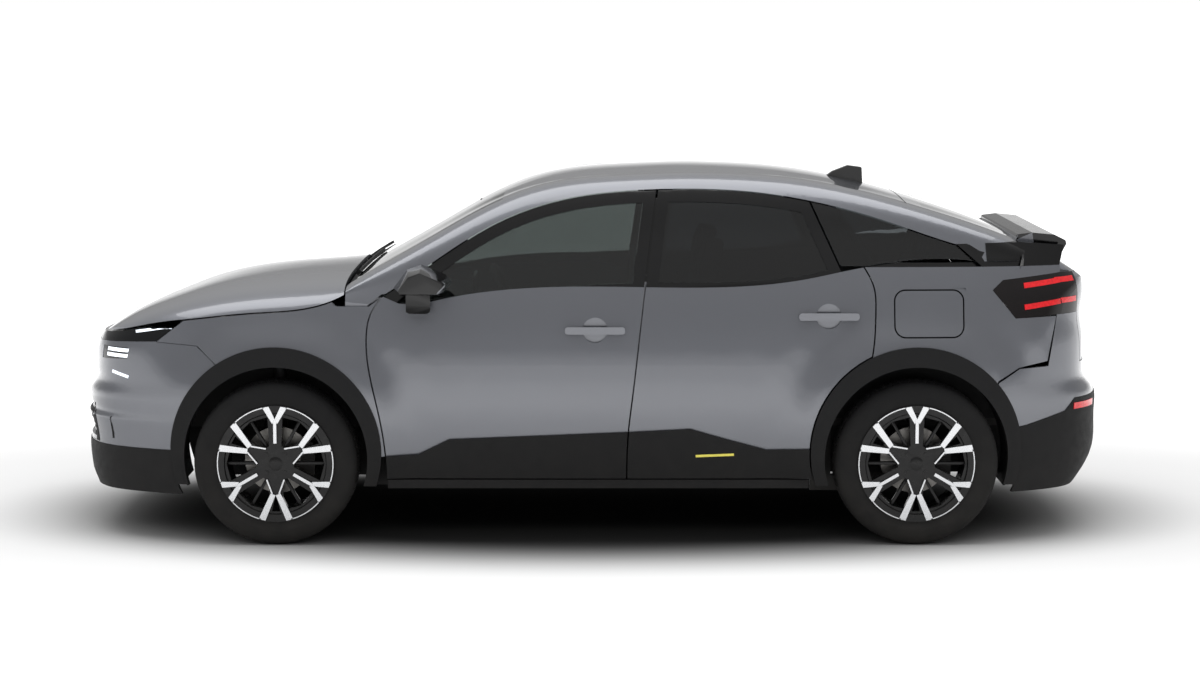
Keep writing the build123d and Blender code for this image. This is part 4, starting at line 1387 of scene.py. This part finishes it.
@dataclass
class Cabin:
    """Seats, fascia, screen, steering wheel and inner mirror."""

    seat_y: float = 0.370
    seat_width: float = 0.490
    bench: tuple[Point, ...] = ((-0.385, 0.40), (0.0, 0.36), (0.385, 0.40))
    rest_width: Point = (0.245, 0.24)
    post_shift: float = 0.06

    def build(self, shop: Workshop) -> None:
        """Dresses the cabin and upholsters the seats.

        Args:
            shop: The workshop.
        """
        shop.dress("dashboard", SOFT_PLASTIC)
        shop.dress("steering_wheel", LEATHER)
        sides = (-self.seat_y, self.seat_y)
        seats = tuple((y, self.seat_width) for y in sides)
        rests = tuple((y, self.rest_width[0]) for y in sides)
        rear_rests = tuple((y, self.rest_width[1]) for y, _ in self.bench)
        Pads("front_cushions", seats, 0.50, 0.15, (0.130, 0.535), 3, 0.035, 4,
             stands_for=("front_seats",)).build(shop)
        Pads("front_backrests", seats, 0.53, 0.115, (0.422, 0.825), -76, 0.035, 4).build(shop)
        Pads("front_head_restraints", rests, 0.18, 0.085, (0.508, 1.160), -76, fill=0.9).build(shop)
        self.seat_bases(shop)
        Pads("rear_cushion", self.bench, 0.44, 0.145, (1.120, 0.580), 3, 0.015, 3,
             stands_for=("rear_seat",)).build(shop)
        Pads("rear_backrest", self.bench, 0.61, 0.105, (1.400, 0.825), -74, 0.015, 3).build(shop)
        Pads("rear_head_restraints", rear_rests, 0.13, 0.07, (1.478, 1.185), -74, crown=0.010,
             fill=0.9).build(shop)
        self.fascia(shop)

    def seat_bases(self, shop: Workshop) -> None:
        """Adds the front seats' bases and the posts of their head restraints.

        Args:
            shop: The workshop.
        """
        bm = bmesh.new()
        for y in (-self.seat_y, self.seat_y):
            join(bm, rounded_block((0.40, 0.40, 0.16), (0.14, y, 0.375), 0.02))
            for shift in (-self.post_shift, self.post_shift):
                join(bm, rounded_block((0.014, 0.014, 0.16), (0.490, y + shift, 1.05), 0.004))
        shop.add("front_seat_bases", bm, SOFT_PLASTIC, "body", "fascia")

    def fascia(self, shop: Workshop) -> None:
        """Adds the centre screen, the dial hood, the gear lever and the inner mirror.

        Args:
            shop: The workshop.
        """
        screen = rounded_block((0.016, 0.26, 0.15), (-0.520, 0.0, 0.985), 0.006)
        shop.add("centre_screen", screen, SCREEN, "body", "gloss_trim")
        hood = rounded_block((0.16, 0.36, 0.075), (-0.620, -self.seat_y, 0.975), 0.03, 5)
        shop.add("dial_hood", hood, SOFT_PLASTIC, "body", "fascia")
        lever = rounded_block((0.05, 0.045, 0.11), (-0.16, 0.0, 0.665), 0.018, 5)
        shop.add("gear_lever", lever, LEATHER, "body", "fascia")
        mirror = rounded_block((0.03, 0.24, 0.065), (-0.455, 0.0, 1.315), 0.012, 4)
        join(mirror, rounded_block((0.05, 0.02, 0.075), (-0.470, 0.0, 1.355), 0.005))
        shop.add("inner_mirror", mirror, SOFT_PLASTIC, "body", "fascia")


@dataclass
class Underside:
    """Floor, engine, axles, exhaust and knuckles."""

    def build(self, shop: Workshop) -> None:
        """Dresses what shows from below.

        Args:
            shop: The workshop.
        """
        finishes = {
            "floor_pan": CHASSIS, "front_subframe": CHASSIS, "rear_axle": CHASSIS, "engine_block": CAST,
            "exhaust": STEEL, "left_knuckle": CHASSIS, "right_knuckle": CHASSIS,
        }
        for node, finish in finishes.items():
            shop.dress(node, finish)


@dataclass
class Studio:
    """Pale floor, soft light and the camera at the photograph's angle."""

    camera_place: Triple = (0.0348, -12.5, 2.25)
    pitch_down: float = 0.1177
    lens: float = 84.8
    sensor: float = 36.0
    far: float = 30000
    floor_size: float = 20000.0
    floor_drop: float = 0.0005
    oval: Triple = (0.55, 1, 0)
    glow_reach: Point = (1.9, 4.2)
    glow: Point = (0.0, 0.9)
    # Painted shadow: between these distances the floor's colour darkens under the car, to these tones.
    painted_shadow_reach: Point = (0.8, 1.6)
    painted_shadow_tone: Point = (0.04, 0.8)
    horizon: float = 0.3
    zenith: float = 0.9
    white_top: float = 0.025
    grey_from: float = 0.09

    def build(self) -> None:
        """Sets up floor, world, lamps and camera."""
        self.floor()
        self.world()
        self.lamp("overhead", (0.0, -0.5, 6.0), 0, (9.0, 5.0), 330)
        self.lamp("side_panel", (0.0, -9.0, 5.0), 58, (9.0, 2.0), 160, mirrored=False)
        self.camera()
        bpy.context.scene.view_settings.view_transform = "Standard"

    @staticmethod
    def background(graph: Graph) -> Socket:
        """Adds nodes that tell when the background is seen, directly or in gloss and glass.

        Args:
            graph: The tree to add to.

        Returns:
            One where it is seen, otherwise zero.
        """
        path = graph.add("LightPath").outputs
        seen = graph.math("MAXIMUM", path["Is Camera Ray"], path["Is Glossy Ray"])
        return graph.math("MAXIMUM", seen, path["Is Transmission Ray"])

    @staticmethod
    def fade(graph: Graph, away: Socket, reach: Point, values: Point) -> Socket:
        """Adds a smooth change with the distance from the car.

        Args:
            graph: The tree to add to.
            away: The distance.
            reach: Where the change starts and ends.
            values: The value before and after it.

        Returns:
            The changing value.
        """
        inputs = {"Value": away, "From Min": reach[0], "From Max": reach[1], "To Min": values[0],
                  "To Max": values[1]}
        return graph.add("MapRange", inputs, interpolation_type="SMOOTHSTEP").outputs[0]

    def floor(self) -> None:
        """Makes the floor, white where it is lit, with a painted shadow below the car, where its colour turns
        dark.
        """
        bm = bmesh.new()
        bmesh.ops.create_grid(bm, x_segments=1, y_segments=1, size=self.floor_size / 2)
        bmesh.ops.translate(bm, vec=(0, 0, -self.floor_drop), verts=bm.verts)
        mesh = bpy.data.meshes.new("studio_floor")
        bm.to_mesh(mesh)
        bm.free()
        material = bpy.data.materials.new("studio_floor")
        material.use_nodes = True
        graph = Graph(material.node_tree)
        where = graph.add("TexCoord").outputs["Object"]
        oval = graph.add("VectorMath", {0: where, 1: self.oval}, operation="MULTIPLY").outputs[0]
        away = graph.add("VectorMath", {0: oval}, operation="LENGTH").outputs["Value"]
        glow = self.fade(graph, away, self.glow_reach, self.glow)
        # The base colour darkens below the car: a painted shadow.
        graph.feed(material.node_tree.nodes["Principled BSDF"], {
            "Base Color": self.fade(graph, away, self.painted_shadow_reach, self.painted_shadow_tone), "Roughness": 0.9,
            "Specular IOR Level": 0.0, "Emission Color": WHITE,
            "Emission Strength": graph.math("MULTIPLY", self.background(graph), glow),
        })
        mesh.materials.append(material)
        floor = bpy.data.objects.new("studio_floor", mesh)
        bpy.context.scene.collection.objects.link(floor)

    def world(self) -> None:
        """Lights the scene from a grey surround that is white at the floor's edge and bright overhead."""
        world = bpy.data.worlds.new("studio")
        bpy.context.scene.world = world
        world.use_nodes = True
        graph = Graph(world.node_tree)
        split = graph.add("SeparateXYZ", {0: graph.add("TexCoord").outputs["Generated"]})
        ramp = graph.add("ValToRGB", {0: split.outputs["Z"]})
        stops = ramp.color_ramp.elements
        for place, level in ((self.white_top, 1.0), (self.grey_from, self.horizon)):
            stops.new(place).color = (level, level, level, 1)
        stops[0].color = WHITE
        stops[-1].color = (self.zenith, self.zenith, self.zenith, 1)
        graph.feed(world.node_tree.nodes["Background"], {"Strength": 1.0, "Color": ramp.outputs[0]})

    @staticmethod
    def lamp(name: str, place: Triple, tilt: float, size: Point, power: float, mirrored: bool = True) -> None:
        """Hangs a soft lamp.

        Args:
            name: The lamp's name.
            place: Where it hangs.
            tilt: How far it is turned up from straight down, in degrees.
            size: Its two sizes.
            power: Its power in watts.
            mirrored: Whether glossy surfaces mirror it.
        """
        data = bpy.data.lights.new(name, "AREA")
        data.shape = "RECTANGLE"
        data.size, data.size_y = size
        data.energy = power
        lamp = bpy.data.objects.new(name, data)
        lamp.location = place
        lamp.rotation_euler = (math.radians(tilt), 0.0, 0.0)
        lamp.visible_glossy = mirrored
        bpy.context.scene.collection.objects.link(lamp)

    def camera(self) -> None:
        """Places the camera."""
        data = bpy.data.cameras.new("photo_camera")
        data.sensor_width = self.sensor
        data.sensor_fit = "HORIZONTAL"
        data.lens = self.lens
        data.clip_end = self.far
        camera = bpy.data.objects.new("photo_camera", data)
        camera.location = self.camera_place
        camera.rotation_euler = (math.pi / 2 - self.pitch_down, 0, 0)
        bpy.context.scene.collection.objects.link(camera)
        bpy.context.scene.camera = camera


def main() -> None:
    """Builds the sub-assemblies in order."""
    logging.basicConfig(level=logging.INFO, format="%(message)s")
    for old in list(bpy.data.objects):
        bpy.data.objects.remove(old)
    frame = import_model()
    shop = Workshop(frame)
    for assembly in (BodyShell(), Doors(), Lamps(), Wheels(), Cabin(), Underside()):
        LOG.info("building %s", type(assembly).__name__)
        assembly.build(shop)
    Studio().build()


if __name__ == "__main__":
    main()
